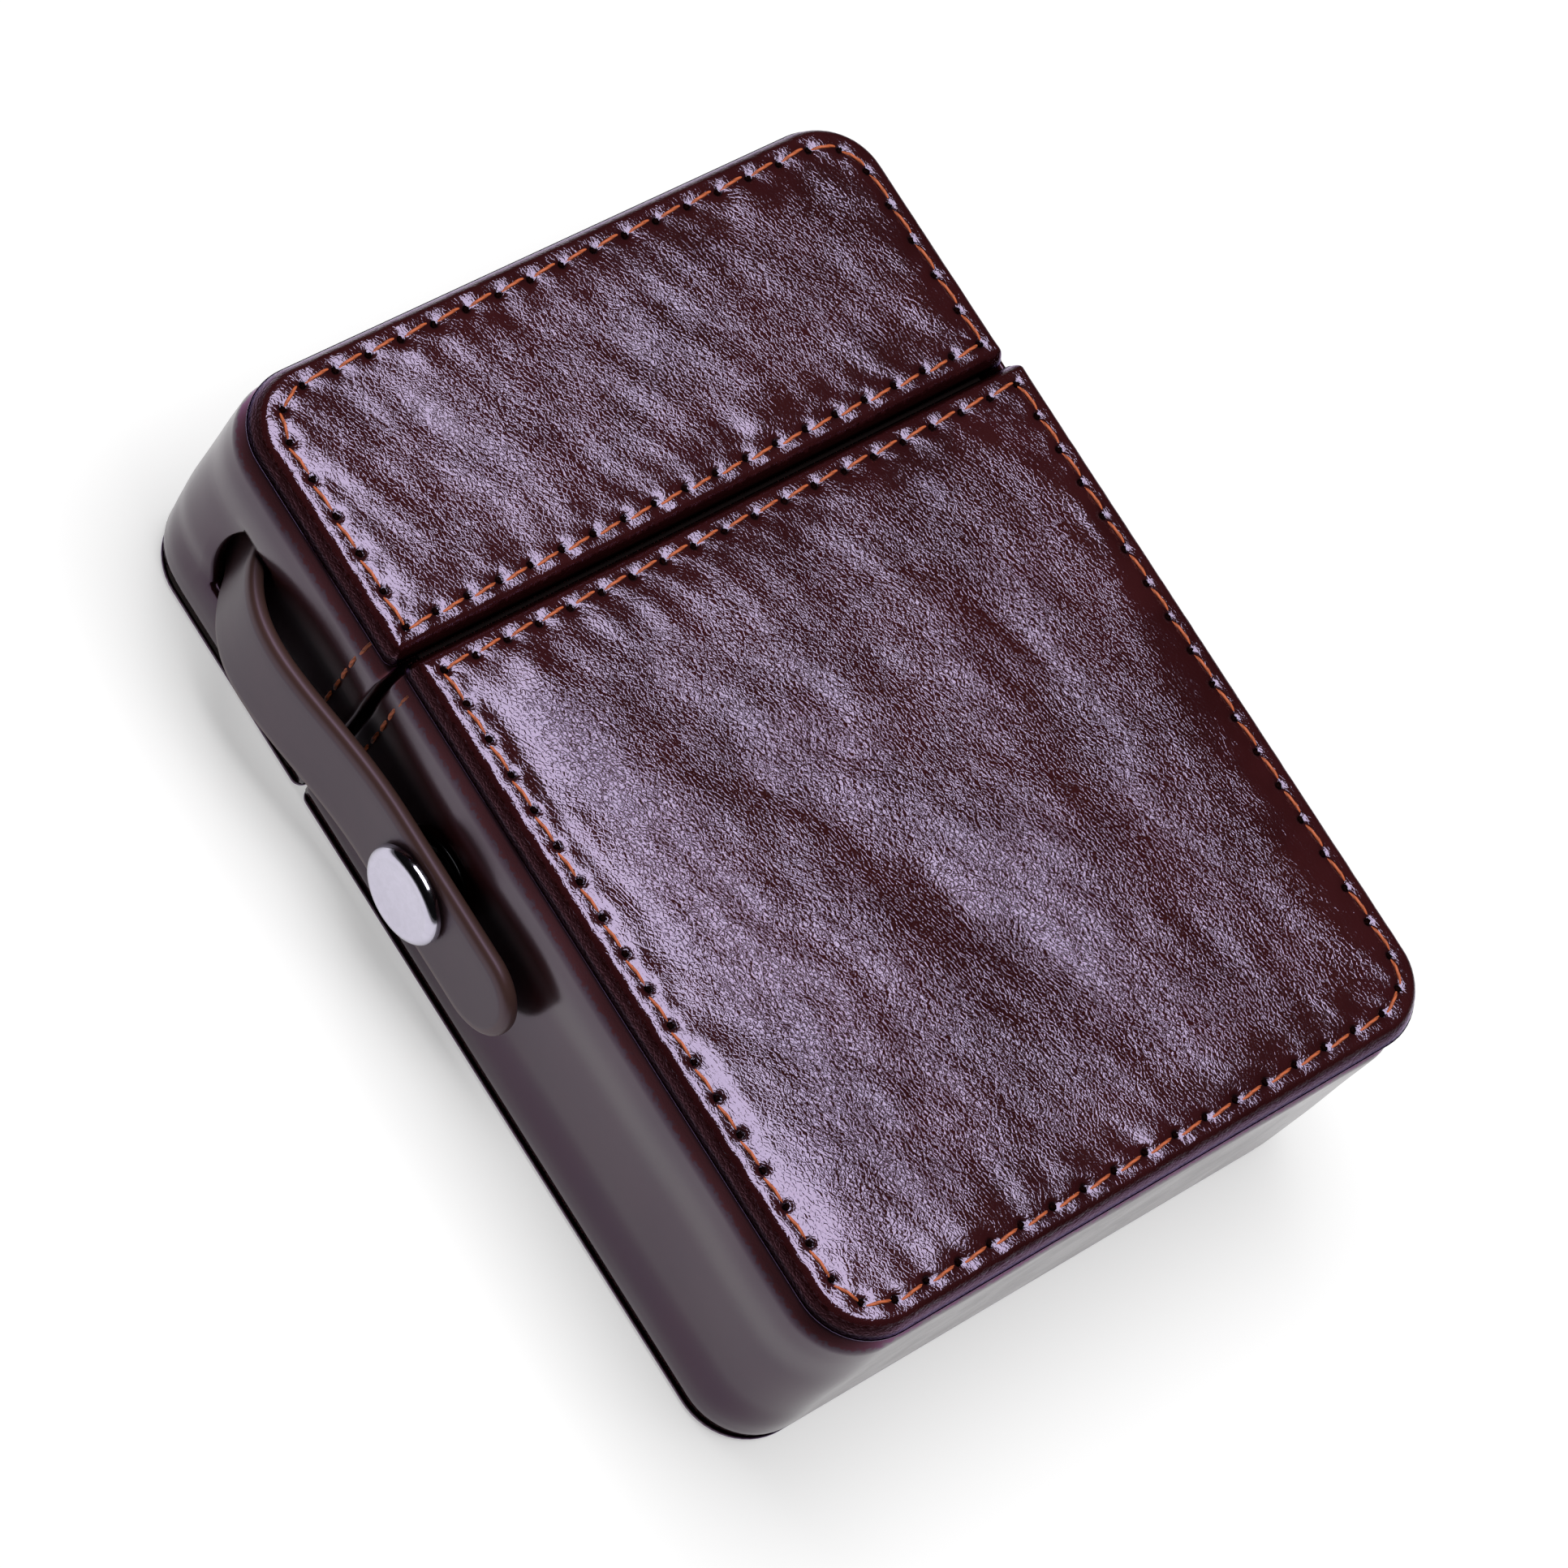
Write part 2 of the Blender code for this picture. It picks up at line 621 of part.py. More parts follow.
def make_snap_socket(model):
    """The socket under the strap: a flange, and a barrel that takes the stud's head."""
    bore = STUD_HEAD_DIAMETER / 2 + SNAP_PLAY
    roof_hole = CAP_POST_DIAMETER / 2 + SNAP_PLAY
    barrel = SOCKET_BARREL_DIAMETER / 2
    flange = SOCKET_FLANGE_DIAMETER / 2
    roof = SOCKET_CEILING + SOCKET_ROOF
    flange_top = SOCKET_BASE + SOCKET_FLANGE
    profile = [
        (roof_hole, roof),
        (barrel, roof),
        (barrel, flange_top),
        (flange, flange_top),
        (flange, SOCKET_BASE),
        (bore, SOCKET_BASE),
        (bore, SOCKET_CEILING),
        (roof_hole, SOCKET_CEILING),
    ]
    return make_turned("snap_socket", profile, -WALL_X, model, closed=True)


def make_snap_stud(model):
    """The stud on the body's wall: a wide flange, a neck and a bulging head with a bore below."""
    flange = STUD_FLANGE_DIAMETER / 2
    neck = STUD_NECK_DIAMETER / 2
    head = STUD_HEAD_DIAMETER / 2
    bore = RIVET_POST_DIAMETER / 2 + SEAT_GAP
    flange_top = STUD_BASE + STUD_FLANGE
    neck_top = flange_top + STUD_NECK_HEIGHT
    bulge = STUD_HEAD_HEIGHT / 2
    ceiling = STUD_TOP - STUD_ROOF
    profile = [(0.0, STUD_TOP), (neck, STUD_TOP)]
    profile += [(head, STUD_TOP - bulge), (neck, neck_top), (neck, flange_top)]
    profile += [(flange, flange_top), (flange, STUD_BASE), (bore, STUD_BASE)]
    profile += [(bore, ceiling), (0.0, ceiling)]
    return make_turned("snap_stud", profile, -WALL_X, model)


def make_stud_rivet(model):
    """The rivet that holds the stud: a flange inside the wall and a post up into the stud."""
    flange = RIVET_FLANGE_DIAMETER / 2
    post = RIVET_POST_DIAMETER / 2
    post_top = STUD_TOP - STUD_ROOF - SEAT_GAP
    flange_top = -BAND_WALL - SEAT_GAP
    flange_base = flange_top - RIVET_FLANGE
    profile = [(0.0, post_top), (post, post_top), (post, flange_top), (flange, flange_top)]
    profile += [(flange, flange_base), (0.0, flange_base)]
    return make_turned("snap_stud_rivet", profile, -WALL_X, model)


def make_axis(name, location, model):
    """An empty on a joint's axis, for the pieces that turn on it."""
    empty = bpy.data.objects.new(name, None)
    empty.location = location
    model.objects.link(empty)
    return empty


def attach(items, empty):
    """Parents pieces to an empty and leaves them where they are."""
    place = Matrix.Translation(empty.location)
    for item in items:
        item.parent = empty
        item.matrix_parent_inverse = place.inverted()


def finish(item, material):
    """Gives a piece its material and shades its round faces smooth."""
    sharp_angle = math.radians(35.0)
    item.data.materials.clear()
    item.data.materials.append(material)
    item.data.shade_smooth()
    if item.data.polygons:
        item.data.set_sharp_from_angle(angle=sharp_angle)


def build_case():
    """Builds every piece of the case, its materials and its joint axes."""
    clear_scene()
    model = make_collection("cigarette_and_lighter_case")
    cutters = make_collection("cutters")

    body_covers = [
        make_cover("body_front_cover", BODY, True, model, cutters),
        make_cover("body_back_cover", BODY, False, model, cutters),
    ]
    lid_covers = [
        make_cover("lid_front_cover", LID, True, model, cutters),
        make_cover("lid_back_cover", LID, False, model, cutters),
    ]
    body_boards = [
        make_board("body_front_board", BODY, True, model),
        make_board("body_back_board", BODY, False, model),
    ]
    lid_boards = [
        make_board("lid_front_board", LID, True, model),
        make_board("lid_back_board", LID, False, model),
    ]
    body_band = make_band("body_side_band", BODY, model, cutters)
    lid_band = make_band("lid_side_band", LID, model, cutters)
    cut_strap_slot(lid_band, cutters)
    cut_round_hole(
        body_band, "wall_rivet_hole", RIVET_POST_DIAMETER + 2 * SEAT_GAP,
        -WALL_X - OVERRUN, -WALL_INSIDE_X + OVERRUN, cutters,
    )
    liner = make_liner(model, cutters)
    divider = make_divider(model)
    body_leaf, lid_leaf = make_hinge(model)
    strap = make_strap(model, cutters)
    anchor = make_strap_anchor(model)
    cap = make_snap_cap(model)
    socket = make_snap_socket(model)
    stud = make_snap_stud(model)
    rivet = make_stud_rivet(model)

    case_origin = make_axis("case_origin", (0.0, 0.0, 0.0), model)
    lid_axis = make_axis("lid_hinge_axis", (HINGE_X, SPLIT_Y, MIDDLE_Z), model)
    strap_axis = make_axis("strap_swing_axis", (LID_WALL_X, SLOT_Y, STRAP_Z), model)
    attach([lid_axis], case_origin)
    attach([strap_axis], lid_axis)
    body_pieces = [*body_covers, *body_boards, body_band, liner, divider, body_leaf, stud, rivet]
    attach(body_pieces, case_origin)
    attach([*lid_covers, *lid_boards, lid_band, lid_leaf, anchor], lid_axis)
    attach([strap, cap, socket], strap_axis)

    padded_leather = make_material("padded_leather", (0.048, 0.007, 0.009), 0.28)
    wall_leather = make_material("wall_leather", (0.045, 0.014, 0.013), 0.32)
    strap_leather = make_material("strap_leather", (0.060, 0.026, 0.021), 0.45)
    hinge_leather = make_material("hinge_leather", (0.040, 0.011, 0.011), 0.40)
    grey_board = make_material("grey_board", (0.110, 0.095, 0.080), 0.85)
    flocked_liner = make_material("flocked_liner", (0.012, 0.010, 0.010), 0.90)
    chrome = make_material("chrome", (0.780, 0.780, 0.790), 0.12, metallic=1.0)
    black_metal = make_material("black_metal", (0.018, 0.018, 0.020), 0.30, metallic=1.0)

    for cover in body_covers + lid_covers:
        finish(cover, padded_leather)
    for board in body_boards + lid_boards:
        finish(board, grey_board)
    for band in (body_band, lid_band):
        finish(band, wall_leather)
    for piece in (liner, divider):
        finish(piece, flocked_liner)
    for leaf in (body_leaf, lid_leaf):
        finish(leaf, hinge_leather)
    for piece in (strap, anchor):
        finish(piece, strap_leather)
    finish(cap, chrome)
    for piece in (socket, stud, rivet):
        finish(piece, black_metal)


build_case()
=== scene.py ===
"""Looks of a cigarette and lighter case: padded leather panels, stitching, walls, strap and snap.

The case lies on its back, as in its frame: +Z out of the front panels, +Y to the lid's end, -X to
the strap. Every new piece is a surface worked out on a grid, in metres, in the frame's own place.
"""

import math
from collections import namedtuple

import bpy
import numpy as np
from bpy.props import FloatProperty, FloatVectorProperty, IntProperty, PointerProperty
from bpy.types import Operator, Panel, PropertyGroup
from mathutils import Matrix, Vector


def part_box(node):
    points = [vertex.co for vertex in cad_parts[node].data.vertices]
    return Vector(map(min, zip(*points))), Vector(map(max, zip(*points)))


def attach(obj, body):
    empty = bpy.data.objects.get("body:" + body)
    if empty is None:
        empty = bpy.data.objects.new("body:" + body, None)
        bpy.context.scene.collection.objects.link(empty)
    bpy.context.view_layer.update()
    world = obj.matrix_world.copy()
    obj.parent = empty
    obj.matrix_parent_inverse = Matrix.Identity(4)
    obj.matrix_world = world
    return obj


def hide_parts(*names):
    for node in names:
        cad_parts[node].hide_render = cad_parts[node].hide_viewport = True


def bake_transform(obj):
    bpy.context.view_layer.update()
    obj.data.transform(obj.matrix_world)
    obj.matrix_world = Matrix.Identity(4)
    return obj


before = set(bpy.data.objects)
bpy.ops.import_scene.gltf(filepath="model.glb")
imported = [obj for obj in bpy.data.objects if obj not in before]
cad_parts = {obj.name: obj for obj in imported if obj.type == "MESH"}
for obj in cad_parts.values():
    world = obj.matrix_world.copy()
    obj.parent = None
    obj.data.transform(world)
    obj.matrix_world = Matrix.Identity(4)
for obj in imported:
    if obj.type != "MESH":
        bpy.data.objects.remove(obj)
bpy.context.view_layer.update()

bl_info = {
    "name": "Cigarette and Lighter Case",
    "version": (1, 0, 0),
    "blender": (4, 5, 0),
    "location": "3D View > Sidebar > Case",
    "description": "Dresses the frame of a leather case with its covers, stitching, strap and snap",
    "category": "Add Mesh",
}

# The photograph's camera: its place and its axes in the frame, its lens and its sensor in millimetres
CAMERA_PLACE = (-0.33408, -0.09231, 0.56995)
CAMERA_RIGHT = (0.76053547, -0.53402831, 0.36932312)
CAMERA_UP = (0.40147309, 0.83381018, 0.37891945)
CAMERA_BACK = (-0.51029909, -0.13990839, 0.84854021)
CAMERA_LENS = 152.08
CAMERA_SENSOR = 36.0

# The studio: half the floor's side, the lamp's place, aim, size and radiance, and the dim world
FLOOR_HALF = 3.0
LAMP_PLACE = (0.072, 0.10, 0.90)
LAMP_AIM = (0.072, 0.10, 0.0)
LAMP_SIZE = (0.524, 0.90)
LAMP_RADIANCE = 5.9
WORLD_STRENGTH = 0.10

# Creases in the front leather run this far round from the case's length
CREASE_TURN = math.radians(18.0)

# The lid's left side stands in this far at its back, which fades out between two levels
LID_LEAN = 0.0011
LEAN_FADE = (0.002, 0.012)

# The soft leather fills most of the split between the hard pieces
PANEL_REACH = 0.00030
WALL_REACH = 0.00040

# Corners of the panels away from the split and beside it, and the walls' corners
CORNER_RADIUS = 0.0073
SPLIT_RADIUS = 0.0012
WALL_RADIUS = 0.0065
CORNER_STEPS = 14

# A panel's depth, its leather's thickness, and how far that is turned in behind the panel
PANEL_DEPTH = 0.0026
SKIN = 0.0010
TURNED_IN = 0.0009

# A flat back panel's edge: how far in its roll reaches, and the straight part of its side
BACK_ROLL = 0.0007
BACK_STRAIGHT = 0.0005

# The strip outside a padded panel's stitches falls this steeply to its rolled edge
BORDER_FALL = 0.11

# How far from the stitches their valley and its dark groove fade, and a pit from its middle
VALLEY_SPREAD = 0.00052
GROOVE_SPREAD = 0.00040
PIT_SPREAD = 0.00046

# Puckers stand highest this far from the stitches, fade over the spread, and slant outwards
PUCKER_CREST = 0.0007
PUCKER_SPREAD = 0.0008
PUCKER_SLANT = 0.35

# The padded field's first low rise inside the stitches, and the uneven rim outside them
RISE_WIDTH = 0.0024
RISE_HEIGHT = 0.00006
RIM_PLACE = 0.0015
RIM_WIDTH = 0.0009
RIM_HEIGHT = 0.000016

# Small waves as a share of the broad ones, the lid's share of both, the width of a crease, and the
# heights of the patches' own waves between which creases come in
SMALL_SHARE = 0.30
LID_CALM = 0.9
CREASE_WIDTH = 0.30
PATCH_RANGE = (-0.2, 0.8)

# Long hollows in the body's padding. Each starts this far from the left stitches, drifts to the
# right on its way from the split, and has a width, a depth and a place where it starts to fade.
Hollow = namedtuple("Hollow", "start drift width depth fade")
PADDING_HOLLOWS = (
    Hollow(start=0.0024, drift=0.52, width=0.016, depth=1.0, fade=0.080),
    Hollow(start=0.0480, drift=0.0, width=0.014, depth=0.7, fade=0.036),
)
HOLLOW_FADING = 0.014

# Seeded waves: the longest and the shortest, the direction that they are stretched along and by
# how much, how many are summed, and their seed. The wall's own height follows them.
Waves = namedtuple("Waves", "longest shortest turn stretch count seed")
BROAD_WAVES = Waves(0.030, 0.010, CREASE_TURN, 2.4, 40, 5)
SMALL_WAVES = Waves(0.008, 0.0035, CREASE_TURN, 2.0, 48, 11)
CREASE_LINES = Waves(0.016, 0.007, CREASE_TURN + 0.35, 2.6, 24, 23)
CREASE_PATCHES = Waves(0.03, 0.015, CREASE_TURN, 1.4, 16, 31)
RIM_WAVES = Waves(0.0032, 0.0014, 0.0, 1.0, 32, 47)
WALL_WAVES = Waves(0.03, 0.012, 0.0, 1.0, 20, 3)
WALL_UNEVEN = 0.00004

# Drops between which a panel's side passes into its painted dark-red reflection and then into
# painted shade, the distances past the stitches between which its leather slackens, and how taut
# the lid's stays
SIDE_DROP = (0.00015, 0.0008)
SHADE_DROP = (0.0014, 0.0017)
TAUT_REACH = (0.0015, 0.0085)
LID_TAUT = 0.30

# Distances below the wall's top between which the painted reflection on its shoulder and its
# painted shade end
SHOULDER_REACH = (0.0022, 0.0036)
SHADE_REACH = (0.0013, 0.0018)

# Levels between which the left wall passes from its back border to its middle, and from there to
# its front border, which takes this share of the way
BACK_BORDER = (0.0040, 0.0095)
FRONT_BORDER = (0.0185, 0.0255)
FRONT_SHARE = 0.7

# Points this near to the left face lie on the left wall
LEFT_BAND = 0.0005

# Stitches beside the split and on the hinge: their pitch
ROW_PITCH = 0.0030

# The strap: its thickness, its flat stretch's middle line and where that begins, and the angle at
# which it leaves the wall
STRAP_THICK = 0.0019
STRAP_FLAT_X = -0.04065
STRAP_FLAT_Y = 0.0130
STRAP_ANGLE = math.radians(42.0)

# The thickness of the hinge's one strip
HINGE_THICK = 0.0009

# Edges that turn by more degrees than these stay sharp, on leather and on metal
SHARP_LEATHER = 50.0
SHARP_METAL = 40.0

# Tints of the gloss on the panels, the walls and the strap
PANEL_GLOSS = (0.80, 0.68, 1.0, 1.0)
WALL_GLOSS = (0.94, 0.62, 1.0, 1.0)
STRAP_GLOSS = (0.86, 0.66, 1.0, 1.0)

PanelShape = namedtuple("PanelShape", "name low high radius_low radius_high outer inward")


def length_prop(name, description, default):
    """A length in metres that a user may change."""
    return FloatProperty(name=name, description=description, default=default, unit="LENGTH", precision=5)


def colour_prop(name, description, default):
    """A linear colour that a user may change."""
    return FloatVectorProperty(
        name=name, description=description, default=default, subtype="COLOR", size=3, min=0.0, max=1.0,
    )


class CasePanelSizes(PropertyGroup):
    """Sizes of the padded panels and their stitching."""

    roll: length_prop("Edge Roll", "How far in the leather's roll over the panel's edge reaches", 0.0014)
    split_roll: length_prop("Split Roll", "How far in the roll reaches beside the split", 0.0013)
    roll_drop: length_prop("Roll Drop", "How far down the side the roll reaches", 0.0022)
    stitch_inset: length_prop("Stitch Inset", "From the panel's edge to its stitches", 0.0026)
    split_inset: length_prop("Split Inset", "From the panel's edge at the split to its stitches", 0.0023)
    stitch_pitch: length_prop("Stitch Pitch", "From one needle hole to the next", 0.0039)
    valley: length_prop("Valley", "Depth of the valley that the stitches pull", 0.00007)
    pucker: length_prop("Pucker", "Height of the puckers between needle holes", 0.00006)
    crown: length_prop("Crown", "Rise of the padding under the body's leather", 0.00092)
    lid_crown: length_prop("Lid Crown", "Rise of the padding under the lid's leather", 0.00032)
    back_thickness: length_prop("Back Thickness", "Thickness of the back panel at its rim", 0.0013)
    crown_reach: length_prop("Crown Reach", "How fast the padding rises from the stitches", 0.0075)
    waves: length_prop("Waves", "Height of the broad waves in the leather", 0.00014)
    hollow: length_prop("Hollow", "Depth of the long hollows in the body's padding", 0.00046)
    creases: length_prop("Creases", "Depth of the long creases", 0.000030)
    pit: length_prop("Pit", "Depth of the pit round a needle hole", 0.00038)
    pit_shift: length_prop("Pit Shift", "How far inwards the needle pulls its hole", 0.00028)
    thread: length_prop("Thread", "Radius of the thread", 0.00019)
    ring_step: length_prop("Ring Step", "Spacing of the surface near the edge", 0.00028)
    field_step: length_prop("Field Step", "Spacing of the surface in the field", 0.00034)


class CaseWallSizes(PropertyGroup):
    """Sizes of the walls, the strap and the snap."""

    wall: length_prop("Wall", "Thickness of the walls", 0.0016)
    shoulder_depth: length_prop("Shoulder Depth", "How far in the wall's front shoulder turns", 0.0021)
    shoulder_length: length_prop("Shoulder Length", "How far the front shoulder takes to turn in", 0.0038)
    lip: length_prop("Lip", "How far in the shoulder's top rounds over beside the panel", 0.00085)
    lip_length: length_prop("Lip Length", "How far down the rounded top of the shoulder reaches", 0.00050)
    back_depth: length_prop("Back Depth", "How far in the wall's back edge rolls", 0.00025)
    back_length: length_prop("Back Length", "How far the back edge takes to roll in", 0.0004)
    lap: length_prop("Lap", "How far the wall laps over the back panel's edge", 0.00150)
    side_flare: length_prop("Side Flare", "How far the left wall's borders stand out", 0.00085)
    body_end_flare: length_prop("Body End Flare", "How far the body's end wall stands out", 0.00090)
    lid_end_flare: length_prop("Lid End Flare", "How far the lid's end wall stands out", 0.00140)
    end_depth: length_prop("End Depth", "How far in the wall rolls at the split", 0.0004)
    end_length: length_prop("End Length", "How far the roll at the split reaches", 0.0006)
    bulge: length_prop("Bulge", "Bulge of the wall's outer face", 0.00006)
    strap_edge: length_prop("Strap Edge", "Width of the strap's painted edge", 0.0011)
    cap_edge: length_prop("Cap Edge", "Radius of the cap's rounded edge", 0.0010)
    turn_steps: IntProperty(name="Turn Steps", description="Sides of the turned pieces", default=96, min=24)


class CaseColours(PropertyGroup):
    """Colours of the case's finishes, and of the painted shade and painted reflections on its leather."""

    leather: colour_prop("Leather", "Panels in their lighter parts", (0.047, 0.0088, 0.0102))
    leather_dark: colour_prop("Leather, Dark", "Panels in their darker parts", (0.031, 0.0052, 0.0060))
    # Painted dark-red reflection on the panels' bent sides
    painted_side_reflection: colour_prop("Leather, Bent", "Panels on their bent sides", (0.060, 0.0105, 0.0110))
    # Painted shade in the needle holes; the stitch groove is darkened towards it too
    groove: colour_prop("Groove", "Panels in their holes and stitch groove", (0.006, 0.0015, 0.0017))
    # Painted shade on the discs in the needle holes, in a lighter and a darker tone
    hole: colour_prop("Hole", "Raw leather inside a needle hole", (0.010, 0.0028, 0.0026))
    darkest_hole_shade: colour_prop("Hole, Dark", "Darkest raw leather in a hole", (0.0035, 0.0012, 0.0012))
    wall: colour_prop("Wall", "Walls in their lighter parts", (0.032, 0.0066, 0.0076))
    wall_dark: colour_prop("Wall, Dark", "Walls in their darker parts", (0.021, 0.0047, 0.0054))
    # Painted dark-red reflection on the walls' shoulders
    painted_shoulder_reflection: colour_prop("Wall, Bent", "Walls where their shoulders bend", (0.062, 0.0135, 0.0130))
    # Painted shade, near black, in the gap between panel and wall
    shade: colour_prop("Shade", "Leather in the gap between panel and wall", (0.006, 0.0018, 0.0019))
    strap: colour_prop("Strap", "Face of the strap", (0.060, 0.0290, 0.0330))
    strap_edge: colour_prop("Strap Edge", "Painted edge of the strap", (0.092, 0.046, 0.039))
    thread: colour_prop("Thread", "Stitching thread", (0.68, 0.160, 0.057))
    lining: colour_prop("Lining", "Flocked lining", (0.010, 0.006, 0.006))
    board: colour_prop("Board", "Lined boards", (0.045, 0.033, 0.031))
    chrome: colour_prop("Chrome", "Snap cap", (0.58, 0.55, 0.66))
    black: colour_prop("Black Metal", "Stud, socket and rivet", (0.030, 0.030, 0.033))


def smooth_step(value, start, end):
    """0 before start and 1 after end, with an S-shaped rise between them."""
    share = np.clip((value - start) / (end - start), 0.0, 1.0)
    return share * share * (3.0 - 2.0 * share)


def bell(distance, spread):
    """A bell curve: 1 at distance 0, and 1/e a spread away from there."""
    return np.exp(-((distance / spread) ** 2))


def quarter_steps(points):
    """Places from 0 to 1 across a quarter-round roll: one minus the cosine of even angles."""
    return 1.0 - np.cos(np.linspace(0.0, math.pi / 2, points))


def ring_angles(points):
    """Even angles round a whole turn."""
    return np.linspace(0.0, 2.0 * math.pi, points, endpoint=False)


def way_walked(points):
    """The distance walked along a line of points, from the first point to each."""
    return np.concatenate([[0.0], np.cumsum(np.linalg.norm(np.diff(points, axis=0), axis=1))])


def thinned(values, apart):
    """Values in order, without those that follow the one before more closely than this."""
    values = np.unique(np.round(values, 7))
    return values[np.concatenate([[True], np.diff(values) > apart])]


def waves(x, y, field):
    """A field of waves: a sum of sines with seeded directions, lengths and phases.

    Wave lengths lie between the shortest and the longest, and along the turned direction they are
    stretched. The sum has a spread of about one.
    """
    source = np.random.default_rng(field.seed)
    along = -x * math.sin(field.turn) + y * math.cos(field.turn)
    across = x * math.cos(field.turn) + y * math.sin(field.turn)
    total = np.zeros_like(x)
    for _ in range(field.count):
        angle = source.uniform(0.0, 2.0 * math.pi)
        length = field.shortest * (field.longest / field.shortest) ** source.uniform()
        phase = source.uniform(0.0, 2.0 * math.pi)
        wave = across * math.cos(angle) + along * math.sin(angle) / field.stretch
        total += np.sin(2.0 * math.pi * wave / length + phase)
    return total * math.sqrt(2.0 / field.count)


def corner_drop(distance, length, depth):
    """The drop of a rolled edge: a quarter ellipse, depth at distance 0 and nothing past length."""
    share = 1.0 - np.clip(distance / length, 0.0, 1.0)
    return depth * (1.0 - np.sqrt(1.0 - share * share))


def inset_in(x, y, shape):
    """How far a point lies inside a rectangle with rounded corners: the distance to its outline."""
    middle = [(a + b) / 2 for a, b in zip(shape.low, shape.high)]
    half = [(b - a) / 2 for a, b in zip(shape.low, shape.high)]
    radius = np.where(y > middle[1], shape.radius_high, shape.radius_low)
    across = np.abs(x - middle[0]) - (half[0] - radius)
    along = np.abs(y - middle[1]) - (half[1] - radius)
    outside = np.hypot(np.maximum(across, 0.0), np.maximum(along, 0.0))
    return radius - outside - np.minimum(np.maximum(across, along), 0.0)


def ring_outline(shape, depth, across_steps, along_steps, arc_steps):
    """The outline's points, the grid of nodes inside it, and the node that each point leans towards.

    The outline is a rectangle with rounded corners, anticlockwise. The grid's border is the
    rectangle that is depth further in, whose corners take a whole arc each.
    """
    (left, bottom), (right, top) = shape.low, shape.high
    ticks_x = np.linspace(0.0, 1.0, across_steps + 1)
    ticks_y = np.linspace(0.0, 1.0, along_steps + 1)
    low, high = shape.radius_low, shape.radius_high
    arc_angles = np.linspace(0.0, math.pi / 2, arc_steps + 1)[1:-1]
    row = across_steps + 1
    last = along_steps * row
    sides = (
        (left + low, bottom, right - low, bottom, ticks_x, 0, 1, low, -math.pi / 2),
        (right, bottom + low, right, top - high, ticks_y, across_steps, row, high, 0.0),
        (right - high, top, left + high, top, ticks_x, last + across_steps, -1, high, math.pi / 2),
        (left, top - high, left, bottom + low, ticks_y, last, -row, low, math.pi),
    )
    outer, nodes = [], []
    for x0, y0, x1, y1, ticks, first, step, radius, start in sides:
        outer.append(np.column_stack([x0 + (x1 - x0) * ticks, y0 + (y1 - y0) * ticks]))
        nodes.append(first + step * np.arange(len(ticks)))
        normal = np.array([math.cos(start), math.sin(start)])
        centre = np.array([x1, y1]) - radius * normal
        angles = start + arc_angles
        outer.append(centre + radius * np.column_stack([np.cos(angles), np.sin(angles)]))
        nodes.append(np.full(len(angles), nodes[-1][-1]))
    grid_x = np.linspace(left + depth, right - depth, across_steps + 1)
    grid_y = np.linspace(bottom + depth, top - depth, along_steps + 1)
    grid = np.stack(np.meshgrid(grid_x, grid_y), axis=-1).reshape(-1, 2)
    return np.concatenate(outer), grid, np.concatenate(nodes)


def grid_quads(across, along, first=0):
    """Quads of a grid that is numbered row by row, with across nodes in each of its rows."""
    rows = first + across * np.arange(along - 1)[:, None] + np.arange(across - 1)[None, :]
    rows = rows.ravel()
    return np.column_stack([rows, rows + 1, rows + 1 + across, rows + across])


def loop_quads(around, rows, first=0):
    """Quads between closed rings of points, from the first ring to the last."""
    here = np.arange(around)
    there = np.roll(here, -1)
    base = first + around * np.arange(rows - 1)[:, None]
    quads = np.stack([base + here, base + there, base + around + there, base + around + here], axis=-1)
    return quads.reshape(-1, 4)


def rim_faces(ring, nodes):
    """Faces between the last ring and the grid's border: quads, and triangles where arcs meet a node."""
    ring_next = np.roll(ring, -1)
    nodes_next = np.roll(nodes, -1)
    same = nodes == nodes_next
    triangles = np.column_stack([ring, ring_next, nodes])[same]
    quads = np.column_stack([ring, ring_next, nodes_next, nodes])[~same]
    return quads, triangles


def fan_faces(around, first, tip):
    """Triangles between a closed ring of points, numbered from first, and one tip."""
    here = first + np.arange(around)
    return np.column_stack([here, np.roll(here, -1), np.full(around, tip)])


def repeated(faces, points_each, count):
    """The faces of one small piece, numbered on for each of several like it."""
    return (faces[None] + points_each * np.arange(count)[:, None, None]).reshape(-1, faces.shape[1])


